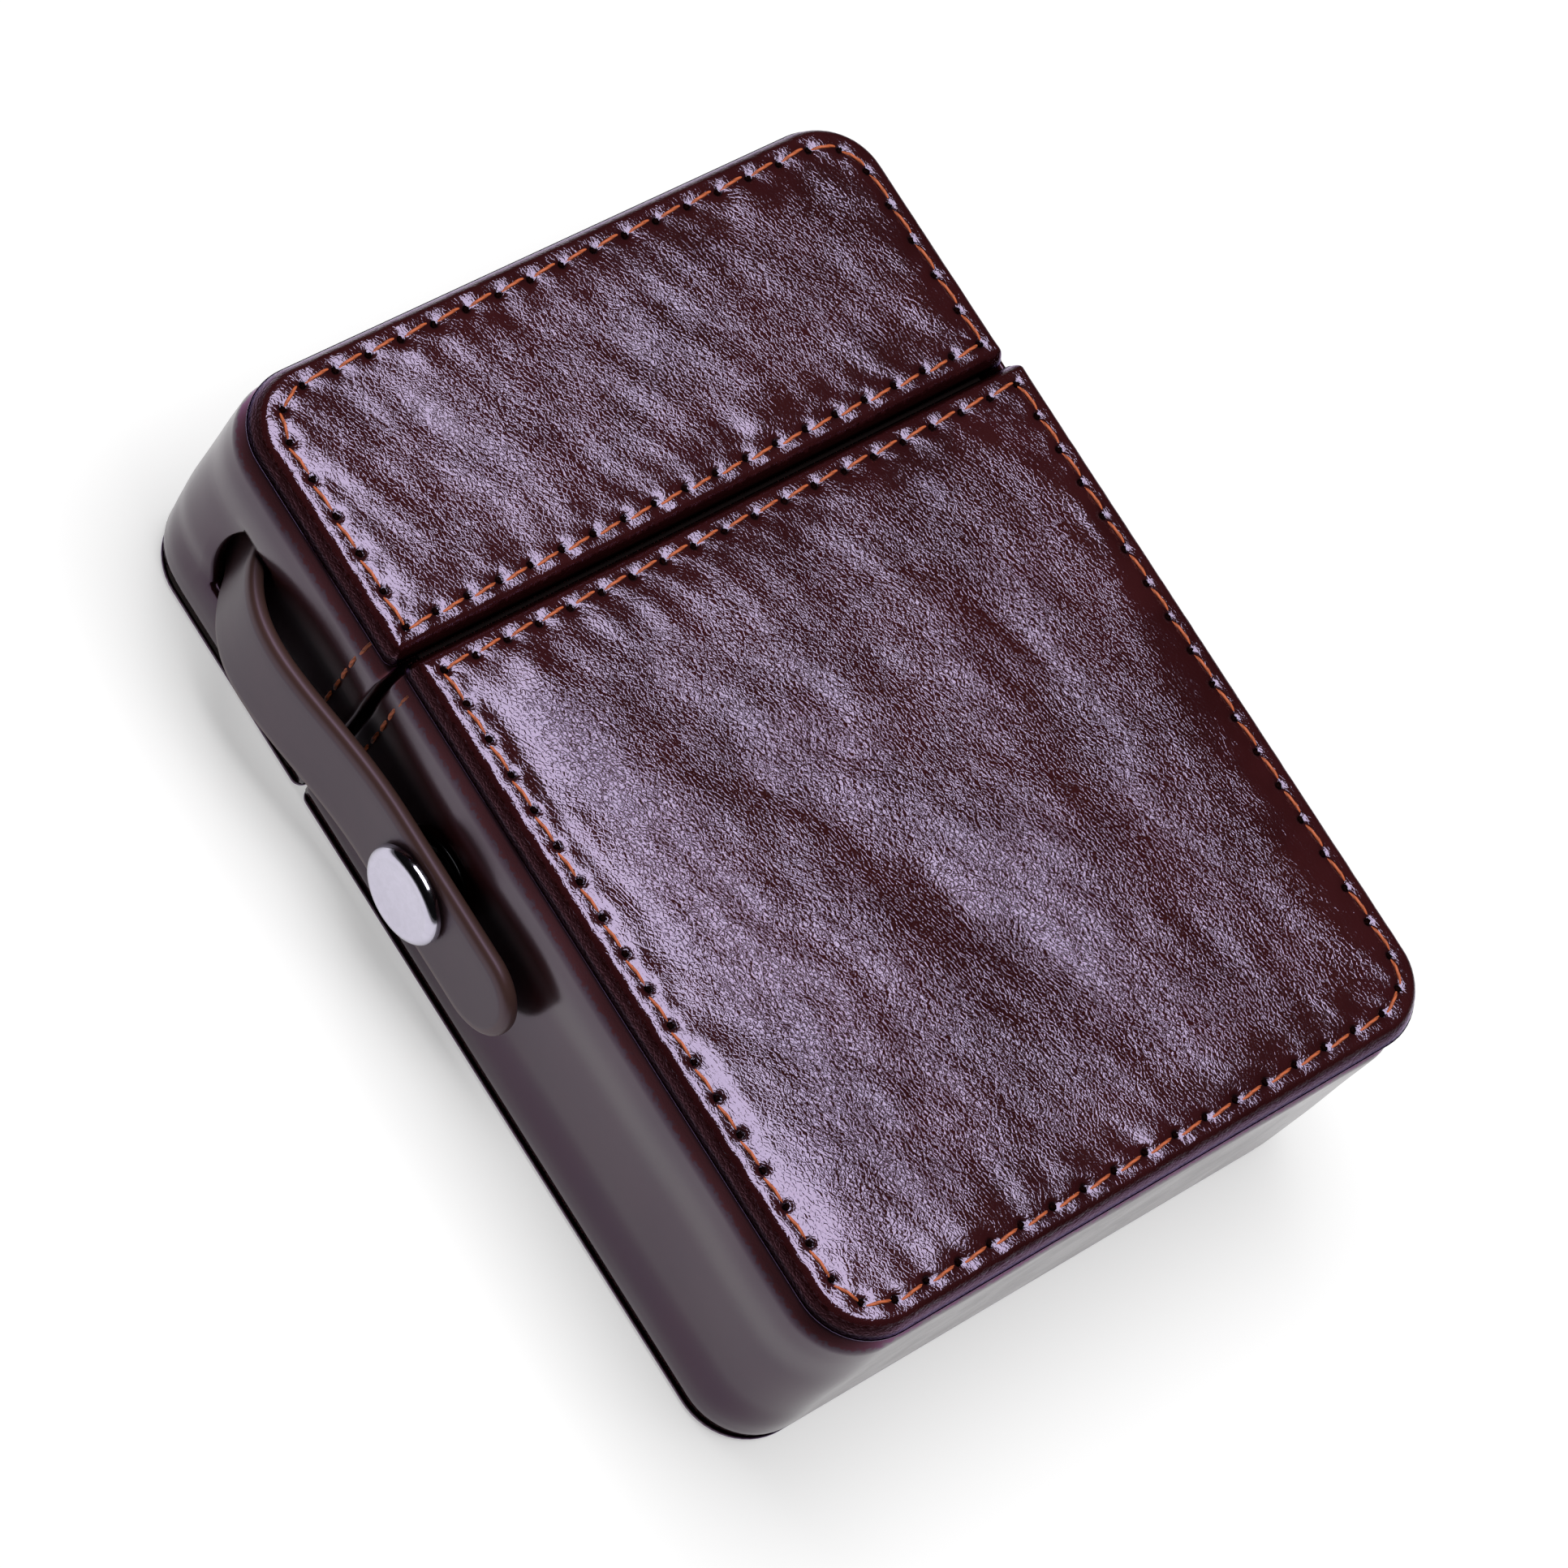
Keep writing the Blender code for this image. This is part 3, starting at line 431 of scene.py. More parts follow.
def mesh_object(name, points, quads, triangles=None, polygon=None, attributes=None):
    """A mesh object from whole arrays: points, faces of four and three corners, and one polygon.

    The faces turn outwards: they are all flipped where the volume that they close is negative.
    """
    quads = np.asarray(quads, np.int64).reshape(-1, 4)
    triangles = np.zeros((0, 3), np.int64) if triangles is None else np.asarray(triangles, np.int64)
    polygon = np.zeros(0, np.int64) if polygon is None else np.asarray(polygon, np.int64)
    a, b, c, d = (points[quads[:, k]] for k in range(4))
    volume = np.einsum("ij,ij->", a, np.cross(b, c)) + np.einsum("ij,ij->", a, np.cross(c, d))
    a, b, c = (points[triangles[:, k]] for k in range(3))
    volume += np.einsum("ij,ij->", a, np.cross(b, c))
    if len(polygon):
        fan = points[polygon]
        volume += np.einsum("j,ij->", fan[0], np.cross(fan[1:-1], fan[2:]))
    if volume < 0.0:
        quads, triangles, polygon = quads[:, ::-1], triangles[:, ::-1], polygon[::-1]
    corners = np.concatenate([quads.ravel(), triangles.ravel(), polygon])
    sizes = [4] * len(quads) + [3] * len(triangles) + ([len(polygon)] if len(polygon) else [])
    starts = np.concatenate([[0], np.cumsum(sizes)[:-1]])
    mesh = bpy.data.meshes.new(name)
    mesh.vertices.add(len(points))
    mesh.vertices.foreach_set("co", np.asarray(points, np.float32).ravel())
    mesh.loops.add(len(corners))
    mesh.loops.foreach_set("vertex_index", corners.astype(np.int32))
    mesh.polygons.add(len(sizes))
    mesh.polygons.foreach_set("loop_start", starts.astype(np.int32))
    mesh.update(calc_edges=True)
    mesh.validate()
    for key, values in (attributes or {}).items():
        layer = mesh.attributes.new(key, "FLOAT", "POINT")
        layer.data.foreach_set("value", np.asarray(values, np.float32).ravel())
    mesh.shade_smooth()
    item = bpy.data.objects.new(name, mesh)
    bpy.context.scene.collection.objects.link(item)
    return item


def sharpen(item, degrees):
    """Keeps edges that turn more than this sharp."""
    item.data.set_sharp_from_angle(angle=math.radians(degrees))
    return item


def finish(item, material, body, slot, *nodes):
    """Gives a piece its material and its body, and hides the nodes it stands for. The slot is not used."""
    item.data.materials.append(material)
    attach(item, body)
    if nodes:
        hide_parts(*nodes)


def repaint(material, *nodes):
    """Gives CAD nodes that keep their own mesh a new finish."""
    for node in nodes:
        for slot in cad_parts[node].material_slots:
            slot.material = material


def panel_shape(node, at_front):
    """The outline of a panel's cover, from its node's box, with round corners away from the split."""
    low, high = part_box(node)
    split_at_top = node.startswith("body")
    radii = (CORNER_RADIUS, SPLIT_RADIUS) if split_at_top else (SPLIT_RADIUS, CORNER_RADIUS)
    outer = low.z + PANEL_DEPTH if at_front else high.z - PANEL_DEPTH
    left = low.x if at_front or split_at_top else low.x + LID_LEAN
    bottom = low.y if split_at_top else low.y - PANEL_REACH
    top = high.y + PANEL_REACH if split_at_top else high.y
    return PanelShape(node, (left, bottom), (high.x, top), *radii, outer, -1.0 if at_front else 1.0)


def needle_holes(shape, inset, split_inset, pitch):
    """The needle holes round a panel, anticlockwise, in even steps along each side and corner."""
    (left, bottom), (right, top) = shape.low, shape.high
    split_at_top = shape.radius_high < shape.radius_low
    left, right = left + inset, right - inset
    bottom = bottom + (inset if split_at_top else split_inset)
    top = top - (split_inset if split_at_top else inset)
    low = max(shape.radius_low - inset, 0.0)
    high = max(shape.radius_high - inset, 0.0)
    sides = (
        ((left + low, bottom), (right - low, bottom), low, -math.pi / 2),
        ((right, bottom + low), (right, top - high), high, 0.0),
        ((right - high, top), (left + high, top), high, math.pi / 2),
        ((left, top - high), (left, bottom + low), low, math.pi),
    )
    holes = []
    for start, end, radius, first_angle in sides:
        start, end = np.array(start), np.array(end)
        steps = max(1, round(float(np.linalg.norm(end - start)) / pitch))
        holes.append(start + (end - start) * np.linspace(0.0, 1.0, steps + 1)[:, None])
        arc_steps = max(1, round(radius * math.pi / 2 / pitch))
        angles = first_angle + np.linspace(0.0, math.pi / 2, arc_steps + 1)[1:-1]
        centre = end - radius * np.array([math.cos(first_angle), math.sin(first_angle)])
        holes.append(centre + radius * np.column_stack([np.cos(angles), np.sin(angles)]))
    holes = np.concatenate(holes)
    apart = np.linalg.norm(holes - np.roll(holes, 1, axis=0), axis=1)
    return holes[apart > pitch / 10]


def hole_pits(holes, shift):
    """The middles of the pits round the needle holes, a little way in from the line of stitches."""
    run = np.roll(holes, -1, axis=0) - np.roll(holes, 1, axis=0)
    run = run / np.linalg.norm(run, axis=1, keepdims=True)
    return holes + shift * np.column_stack([-run[:, 1], run[:, 0]])


def along_stitches(x, y, holes, pits):
    """For each point: its count along the stitches, its distance to them and to the nearest pit."""
    points = np.column_stack([x.ravel(), y.ravel()])[:, None, :]
    starts, ends = holes[None], np.roll(holes, -1, axis=0)[None]
    run = ends - starts
    share = np.clip(((points - starts) * run).sum(-1) / (run * run).sum(-1), 0.0, 1.0)
    gap = np.linalg.norm(points - starts - share[..., None] * run, axis=-1)
    nearest = gap.argmin(axis=1)
    index = np.arange(len(points))
    to_pit = np.linalg.norm(points - pits[None], axis=-1).min(axis=1)
    count = nearest + share[index, nearest]
    return count.reshape(x.shape), gap[index, nearest].reshape(x.shape), to_pit.reshape(x.shape)


def rolled_side(inset, roll, drop, padded):
    """The drop of a rolled edge: a square law on a padded panel, a quarter ellipse on a flat one."""
    if not padded:
        return corner_drop(inset, roll, drop)
    share = 1.0 - np.clip(inset / roll, 0.0, 1.0)
    return drop * share ** 2.0


def panel_roll(sizes, padded):
    """How far in and how far down a panel's edge rolls: the flat back panel's edge is thinner."""
    if padded:
        return sizes.roll, sizes.roll_drop
    return BACK_ROLL, sizes.back_thickness - BACK_STRAIGHT


def panel_edge(inset, y, shape, sizes, padded):
    """The drop of a panel's rolled edge, which reaches less far in beside the split."""
    split_y = shape.low[1] if shape.radius_low < shape.radius_high else shape.high[1]
    split_reach = 2.5 * sizes.roll
    beside_split = 1.0 - smooth_step(np.abs(y - split_y), 0.0, split_reach)
    widest, drop = panel_roll(sizes, padded)
    roll = widest + (min(sizes.split_roll, widest) - widest) * beside_split
    return rolled_side(inset, roll, drop, padded)


def stitch_puckers(count, gap, inset, holes, sizes):
    """How far the stitches pull the leather down beside them, and let it rise in between.

    One cosine wave from needle hole to needle hole, pulled by a seeded strength at each hole. It
    slants on both sides of the stitches, and fades away from its crest as a bell curve.
    """
    weakest, strongest = 0.5, 1.5
    source = np.random.default_rng(len(holes))
    strength = source.uniform(weakest, strongest, len(holes) + 1)
    strength[-1] = strength[0]
    pull = np.interp(count, np.arange(len(holes) + 1), strength)
    side = np.where(inset < sizes.stitch_inset, -1.0, 1.0)
    slant = count + PUCKER_SLANT * side * gap / sizes.stitch_pitch
    return sizes.pucker * pull * np.cos(2.0 * math.pi * slant) * bell(gap - PUCKER_CREST, PUCKER_SPREAD)


def padding_hollows(from_left, from_split):
    """Long hollows in the body's padding, each a raised cosine across and up to 1 deep.

    The first starts beside the left stitches at the split and drifts to the right further down. The
    second runs straight down beside the right stitches and fades out half way.
    """
    total = 0.0
    for hollow in PADDING_HOLLOWS:
        start = hollow.start + hollow.drift * from_split
        share = np.clip((from_left - start) / hollow.width, 0.0, 1.0)
        fading = 1.0 - smooth_step(from_split, hollow.fade, hollow.fade + HOLLOW_FADING)
        total = total + hollow.depth * fading * (1.0 - np.cos(2.0 * math.pi * share)) / 2.0
    return total


def padding_relief(x, y, inset, shape, sizes):
    """How far the padding lifts a padded panel's leather, with the leather's own unevenness.

    The sum of a low rise inside the stitches, the fall of the border outside them, the crown of
    the padding, the body's hollows, broad and small waves, creases that come in patches and an
    uneven rim.
    """
    (left, bottom), (right, top) = shape.low, shape.high
    is_body = shape.name.startswith("body")
    edge = sizes.stitch_inset
    from_side = np.minimum(x - left, right - x) - edge
    from_end = np.minimum(y - bottom, top - y) - edge
    rise_across = 1.0 - np.exp(-np.maximum(from_side, 0.0) / sizes.crown_reach)
    rise_along = 1.0 - np.exp(-np.maximum(from_end, 0.0) / sizes.crown_reach)
    relief = RISE_HEIGHT * smooth_step(np.maximum(inset - edge, 0.0), 0.0, RISE_WIDTH)
    relief -= BORDER_FALL * np.maximum(edge - inset, 0.0)
    relief += (sizes.crown if is_body else sizes.lid_crown) * rise_across * rise_along
    if is_body:
        relief -= sizes.hollow * rise_along * padding_hollows(x - left - edge, top - y)
    calm = smooth_step(inset, edge, 2.0 * edge) * (1.0 if is_body else LID_CALM)
    broad, small = waves(x, y, BROAD_WAVES), waves(x, y, SMALL_WAVES)
    relief += calm * (sizes.waves * broad + SMALL_SHARE * sizes.waves * small)
    lines = waves(x, y, CREASE_LINES)
    patches = smooth_step(waves(x, y, CREASE_PATCHES), *PATCH_RANGE)
    relief -= calm * sizes.creases * patches * bell(lines, CREASE_WIDTH)
    relief += RIM_HEIGHT * waves(x, y, RIM_WAVES) * bell(inset - RIM_PLACE, RIM_WIDTH)
    return relief


def panel_relief(x, y, shape, holes, sizes, padded):
    """How far a panel's leather stands out from its flat face, and the masks of holes and groove.

    The sum of a rolled edge, a valley along the stitches, a pit at each needle hole, puckers
    between the holes and, on a padded panel, the relief of its padding.
    """
    inset = inset_in(x, y, shape)
    count, gap, to_pit = along_stitches(x, y, holes, hole_pits(holes, sizes.pit_shift))
    hole_mask = bell(to_pit, PIT_SPREAD)
    relief = -panel_edge(inset, y, shape, sizes, padded)
    relief -= sizes.valley * bell(gap, VALLEY_SPREAD)
    relief -= sizes.pit * hole_mask
    relief -= stitch_puckers(count, gap, inset, holes, sizes)
    if padded:
        relief += padding_relief(x, y, inset, shape, sizes)
    return relief, hole_mask, bell(gap, GROOVE_SPREAD)


def turned_in_edge(thick):
    """Insets and drops of the rings behind a cover's roll: turned in, then round the back corner."""
    chamfer, corner_in, corner_up = 0.0002, 0.0004, 0.0003
    return [
        (TURNED_IN, min(SKIN, thick - corner_up)), (TURNED_IN, thick - chamfer),
        (TURNED_IN - chamfer, thick), (corner_in, thick),
        (0.3 * corner_in, thick - corner_up / 3), (0.0, thick - corner_up),
    ]


def side_masks(insets, under_count, sizes, padded):
    """For each ring of a cover, how much of the painted dark-red reflection and of the painted shade it
    takes.
    """
    fallen = rolled_side(insets, *panel_roll(sizes, padded), padded)
    bent = np.concatenate([np.ones(under_count), smooth_step(fallen, *SIDE_DROP)])
    # The side's last ring takes none of the painted reflection, and the roll's first ring takes part of it
    bent[under_count - 1:under_count + 1] = (0.0, 0.6)
    shade = np.concatenate([np.ones(under_count), smooth_step(fallen, *SHADE_DROP)])
    return bent, shade


def make_cover(node, at_front, sizes):
    """The leather cover of a panel, drawn over its board and turned in behind it.

    Rings follow the outline: up the turned-in edge, round the side and over the roll, then inwards
    past the stitches to a plain grid over the field. Each ring is the outline moved a share of the
    way to the field's border; the height of the outer face is the panel's relief.
    """
    shape = panel_shape(node, at_front)
    depth = max(shape.radius_low, shape.radius_high)
    across = round((shape.high[0] - shape.low[0] - 2 * depth) / sizes.field_step)
    along = round((shape.high[1] - shape.low[1] - 2 * depth) / sizes.field_step)
    outer, grid, nodes = ring_outline(shape, depth, across, along, CORNER_STEPS)
    roll, _ = panel_roll(sizes, at_front)
    rest = np.arange(roll + sizes.ring_step, depth - sizes.ring_step / 2, sizes.ring_step)
    insets = np.concatenate([roll * quarter_steps(10), rest])
    under = turned_in_edge(PANEL_DEPTH if at_front else sizes.back_thickness)
    lean = (grid[nodes] - outer) / depth
    below = [outer + inset * lean for inset, _ in under]
    above = [outer + inset * lean for inset in insets]
    face = np.concatenate(above + [grid])
    holes = needle_holes(shape, sizes.stitch_inset, sizes.split_inset, sizes.stitch_pitch)
    relief, hole_mask, groove_mask = panel_relief(face[:, 0], face[:, 1], shape, holes, sizes, at_front)
    around = len(outer)
    heights = np.concatenate([np.full(around, -drop) for _, drop in under] + [relief])
    flat = np.concatenate(below + [face])
    points = np.column_stack([flat, shape.outer - shape.inward * heights])
    rows = len(under) + len(insets)
    grid_start = rows * around
    rim_quads, rim_triangles = rim_faces(grid_start - around + np.arange(around), grid_start + nodes)
    field_quads = grid_quads(across + 1, along + 1, grid_start)
    quads = np.concatenate([loop_quads(around, rows), rim_quads, field_quads])
    bent, shade = side_masks(insets, len(under), sizes, at_front)
    within = inset_in(flat[:, 0], flat[:, 1], shape) - sizes.stitch_inset
    least_taut = 0.0 if node.startswith("body") else LID_TAUT
    hidden, field = np.zeros(len(under) * around), np.zeros(len(grid))
    # shade: painted shade low on the side and behind it; side: painted dark-red reflection on the bent
    # side; hole: painted shade in the needle holes; groove: darker along the stitches
    masks = {
        "shade": np.concatenate([np.repeat(shade, around), field]),
        "hole": np.concatenate([hidden, hole_mask]),
        "groove": np.concatenate([hidden, groove_mask]),
        "side": np.concatenate([np.repeat(bent, around), field]),
        "taut": np.maximum(1.0 - smooth_step(within, *TAUT_REACH), least_taut),
    }
    name = node.replace("_cover", "_leather")
    back = np.arange(around)[::-1]
    return mesh_object(name, points, quads, rim_triangles, back, masks), shape, holes


def make_thread(name, starts, ends, outwards, radius, sink):
    """Stitches: each a short two-ply thread that rises from one hole, arches and dips into the next.

    Along a stitch the middle line climbs as a sine's root and falls again. Round it the radius
    swells twice, and the swelling turns along the thread as its plies do.
    """
    rings, around = 11, 8
    plies_turn, arch_power, arch_rise = 1.25, 0.55, 0.55
    waist, ply_swell = 0.80, 0.24
    end_share, arch_share = 0.55, 0.45
    share = (1.0 - np.cos(np.linspace(0.0, math.pi, rings))) / 2
    angle = ring_angles(around)
    run = ends - starts
    forward = run / np.linalg.norm(run, axis=1, keepdims=True)
    sideways = np.cross(outwards, forward)
    arch = np.sin(math.pi * share) ** arch_power
    rise = -sink + (sink + radius * arch_rise) * arch
    middle = starts[:, None] + run[:, None] * share[None, :, None]
    middle = middle + outwards[:, None] * rise[None, :, None]
    ply = np.abs(np.cos(angle[None, :] - 2.0 * math.pi * plies_turn * share[:, None]))
    swell = radius * (waist + ply_swell * ply) * (end_share + arch_share * arch[:, None])
    points = middle[:, :, None] + (
        sideways[:, None, None] * (swell * np.cos(angle))[None, :, :, None]
        + outwards[:, None, None] * (swell * np.sin(angle))[None, :, :, None]
    )
    # Three quads close the eight points of each end
    cap = np.array([[0, 1, 2, 3], [0, 3, 4, 7], [4, 5, 6, 7]])
    one = np.concatenate([loop_quads(around, rings), cap[:, ::-1], cap + (rings - 1) * around])
    quads = repeated(one, rings * around, len(starts))
    # The plies' crests, from which the thread's material paints shade into the creases between plies
    plies = np.broadcast_to(ply, (len(starts), rings, around))
    return mesh_object(name, points.reshape(-1, 3), quads, attributes={"ply": plies})


def stitch_levels(low, high, margin):
    """Even levels at the stitch rows' pitch between two heights, a margin in from both."""
    count = round((high - low - 2 * margin) / ROW_PITCH)
    return np.linspace(low + margin, high - margin, count + 1)


def row_of_stitches(name, x, y, levels, slant, gap, outward_x, radius, sink):
    """Stitches up a wall's face, one from each level to the next.

    Each starts a slant below its row and a gap past its level, and ends the same way reversed.
    """
    count = len(levels) - 1
    starts = np.column_stack([x[:-1], np.full(count, y - slant), levels[:-1] + gap])
    ends = np.column_stack([x[1:], np.full(count, y + slant), levels[1:] - gap])
    outwards = np.tile([outward_x, 0.0, 0.0], (count, 1))
    return make_thread(name, starts, ends, outwards, radius, sink)


def panel_thread(name, shape, holes, sizes, padded):
    """The stitches round a panel, one from each needle hole to the next, each a little slanted."""
    slant, gap, sink = 0.00020, 0.00025, 0.00060
    following = np.roll(holes, -1, axis=0)
    run = following - holes
    run = run / np.linalg.norm(run, axis=1, keepdims=True)
    out = np.column_stack([run[:, 1], -run[:, 0]])
    starts = holes + out * slant + run * gap
    ends = following - out * slant - run * gap
    middle = (starts + ends) / 2
    relief = panel_relief(middle[:, 0], middle[:, 1], shape, holes, sizes, padded)[0]
    level = shape.outer - shape.inward * relief
    outwards = np.tile([0.0, 0.0, -shape.inward], (len(holes), 1))
    starts = np.column_stack([starts, level])
    ends = np.column_stack([ends, level])
    return make_thread(name, starts, ends, outwards, sizes.thread, sink)


def hole_shade_discs(name, shape, holes, sizes, padded):
    """Painted shade in the needle holes: a dark, ragged flat lens across each pit, under the leather."""
    around = 12
    radius, half_thick, depth_share = 0.00042, 0.00003, 0.55
    least, most = 0.55, 1.30
    pits = hole_pits(holes, sizes.pit_shift)
    relief = panel_relief(pits[:, 0], pits[:, 1], shape, holes, sizes, padded)[0]
    level = shape.outer - shape.inward * (relief + depth_share * sizes.pit)
    angle = ring_angles(around)
    source = np.random.default_rng(len(holes) + 1)
    radius = radius * source.uniform(least, most, (len(holes), around))
    edge = np.stack([radius * np.cos(angle), radius * np.sin(angle), 0.0 * radius], axis=-1)
    middle = np.column_stack([pits, level])[:, None]
    rise = np.array([0.0, 0.0, half_thick])
    points = np.concatenate([middle + edge, middle + rise, middle - rise], axis=1)
    upper = fan_faces(around, 0, around)
    lower = fan_faces(around, 0, around + 1)[:, [1, 0, 2]]
    triangles = repeated(np.concatenate([upper, lower]), around + 2, len(holes))
    return mesh_object(name, points.reshape(-1, 3), [], triangles)


def sheet_quads(solid, first_inner):
    """Faces of a sheet with two skins on one grid, closed along every border of its solid cells.

    The outer skin's nodes are numbered row by row, and the inner skin's follow from first_inner.
    """
    along, across = solid.shape[0] + 1, solid.shape[1] + 1
    base = np.arange(along - 1)[:, None] * across + np.arange(across - 1)[None, :]
    corners = (base, base + 1, base + 1 + across, base + across)
    outer = np.stack(corners, axis=-1)[solid]
    quads = [outer, outer[:, ::-1] + first_inner]
    padded = np.pad(solid, 1)
    beside = (padded[:-2, 1:-1], padded[1:-1, 2:], padded[2:, 1:-1], padded[1:-1, :-2])
    for edge, neighbour in enumerate(beside):
        open_edge = solid & ~neighbour
        start = corners[edge][open_edge]
        end = corners[(edge + 1) % 4][open_edge]
        quads.append(np.column_stack([end, start, start + first_inner, end + first_inner]))
    return np.concatenate(quads)


def used_only(points, quads):
    """Drops the points that no face uses, and numbers the rest again."""
    used = np.unique(quads)
    numbers = np.zeros(len(points), np.int64)
    numbers[used] = np.arange(len(used))
    return points[used], numbers[quads]


def wall_path(left, right, split, end, extra=()):
    """The way round three sides of a half, from the split to its end and back to the split.

    Returns places, outward directions and the distance from the nearer split end. Both sides run
    through the extra places too.
    """
    step, close_steps = 0.0009, 0.0016
    turn = 1.0 if end > split else -1.0
    side = abs(end - split) - WALL_RADIUS
    ticks = thinned(np.concatenate([
        close_steps * quarter_steps(9), np.arange(close_steps + step, side, step), [side],
        [abs(value - split) for value in extra],
    ]), step / 8)
    turns = np.linspace(0.0, math.pi / 2, CORNER_STEPS + 1)[1:-1]
    flat = np.linspace(
        left + WALL_RADIUS, right - WALL_RADIUS, round((right - left - 2 * WALL_RADIUS) / step) + 1,
    )

    def corner(centre_x, first_angle):
        """Places on a quarter circle, and the directions outwards from its centre."""
        angle = first_angle - turns
        direction = np.column_stack([np.cos(angle), turn * np.sin(angle)])
        return np.array([centre_x, end - turn * WALL_RADIUS]) + WALL_RADIUS * direction, direction

    along, beyond = split + turn * ticks, side + WALL_RADIUS * math.pi / 2
    stretches = (
        (np.column_stack([np.full(len(ticks), left), along]), (-1.0, 0.0), ticks),
        (*corner(left + WALL_RADIUS, math.pi), beyond),
        (np.column_stack([flat, np.full(len(flat), end)]), (0.0, turn), beyond),
        (*corner(right - WALL_RADIUS, math.pi / 2), beyond),
        (np.column_stack([np.full(len(ticks), right), along[::-1]]), (1.0, 0.0), ticks[::-1]),
    )
    places = np.concatenate([place for place, _, _ in stretches])
    outwards = np.concatenate([np.broadcast_to(outward, place.shape) for place, outward, _ in stretches])
    distance = np.concatenate([np.broadcast_to(way, len(place)) for place, _, way in stretches])
    return places, outwards, distance


def wall_flare(outward_x, outward_y, z, sizes, is_body):
    """How far the soft wall stands out from its flat place.

    The end wall stands out all over. The left wall stands out at its front and back borders, and
    keeps its place behind the strap and the snap.
    """
    middle = smooth_step(z, *BACK_BORDER) * (1.0 - FRONT_SHARE * smooth_step(z, *FRONT_BORDER))
    at_left = np.minimum(outward_x, 0.0) ** 2 * (1.0 - middle)
    end_flare = sizes.body_end_flare if is_body else sizes.lid_end_flare
    return sizes.side_flare * at_left + end_flare * outward_y ** 2


def turned_shoulder(distance, sizes):
    """How far the wall's shoulder turns in: a soft-cornered slope, rounded over at its top."""
    soft = 0.16
    share = 1.0 - np.clip(distance / sizes.shoulder_length, 0.0, 1.0)
    slope = (np.sqrt(share * share + soft * soft) - soft) / (math.sqrt(1.0 + soft * soft) - soft)
    lip = corner_drop(distance, sizes.lip_length, sizes.lip)
    return (sizes.shoulder_depth - sizes.lip) * slope + lip


def lid_set_in(z):
    """How far the lid's left side stands in: only near the back."""
    return LID_LEAN * (1.0 - smooth_step(z, *LEAN_FADE))


def slot_dip(places, z, slot, left):
    """How far the leather dips round the slot: most at its border, and fading away from it."""
    depth, fade = 0.00030, 0.0006
    (low_y, high_y), (low_z, high_z) = slot
    y = places[:, 1][:, None]
    past = np.hypot(
        np.maximum(np.maximum(low_y - y, y - high_y), 0.0),
        np.maximum(np.maximum(low_z - z, z - high_z), 0.0),
    )
    on_left = (places[:, 0] < left + LEFT_BAND)[:, None]
    return np.where(on_left, depth * np.exp(-past / fade), 0.0)


def slot_cells(places, levels, slot, left):
    """Which of the wall's cells the slot leaves out."""
    (low_y, high_y), (low_z, high_z) = slot
    middle_y = (places[1:, 1] + places[:-1, 1]) / 2
    middle_z = (levels[1:] + levels[:-1]) / 2
    in_y = (middle_y > low_y) & (middle_y < high_y) & (places[1:, 0] < left + LEFT_BAND)
    in_z = (middle_z > low_z) & (middle_z < high_z)
    return in_y[:, None] & in_z[None, :]


def fit_lid_wall(flat, z, slot, left):
    """Rounds the upper edge of the slot, and sets the lid's left side in near the back.

    The edge drops with the square of the way from the slot's middle. The drop fades along the
    wall as a bell curve.
    """
    drop, reach = 0.0015, 0.0022
    (_, high_y), (low_z, high_z) = slot
    way = (z - (low_z + high_z) / 2) / ((high_z - low_z) / 2)
    flat[..., 1] -= drop * np.minimum(way ** 2, 1.0) * bell(flat[..., 1] - high_y, reach)
    flat[..., 0] += lid_set_in(z) * smooth_step(-flat[..., 0], 0.0, -left)


def wall_levels(base, top, sizes, slot):
    """The wall's levels from its back edge to its top, closer in its rolls and exact at the slot."""
    close_part, step, least = 0.0040, 0.0008, 0.00012
    levels = thinned(np.concatenate([
        base + sizes.back_length * quarter_steps(9),
        np.arange(base + sizes.back_length, top - close_part, step),
        np.linspace(top - close_part, top, 15), slot[1] if slot else (),
    ]), least)
    for value in slot[1] if slot else ():
        levels[np.abs(levels - value).argmin()] = value
    return levels


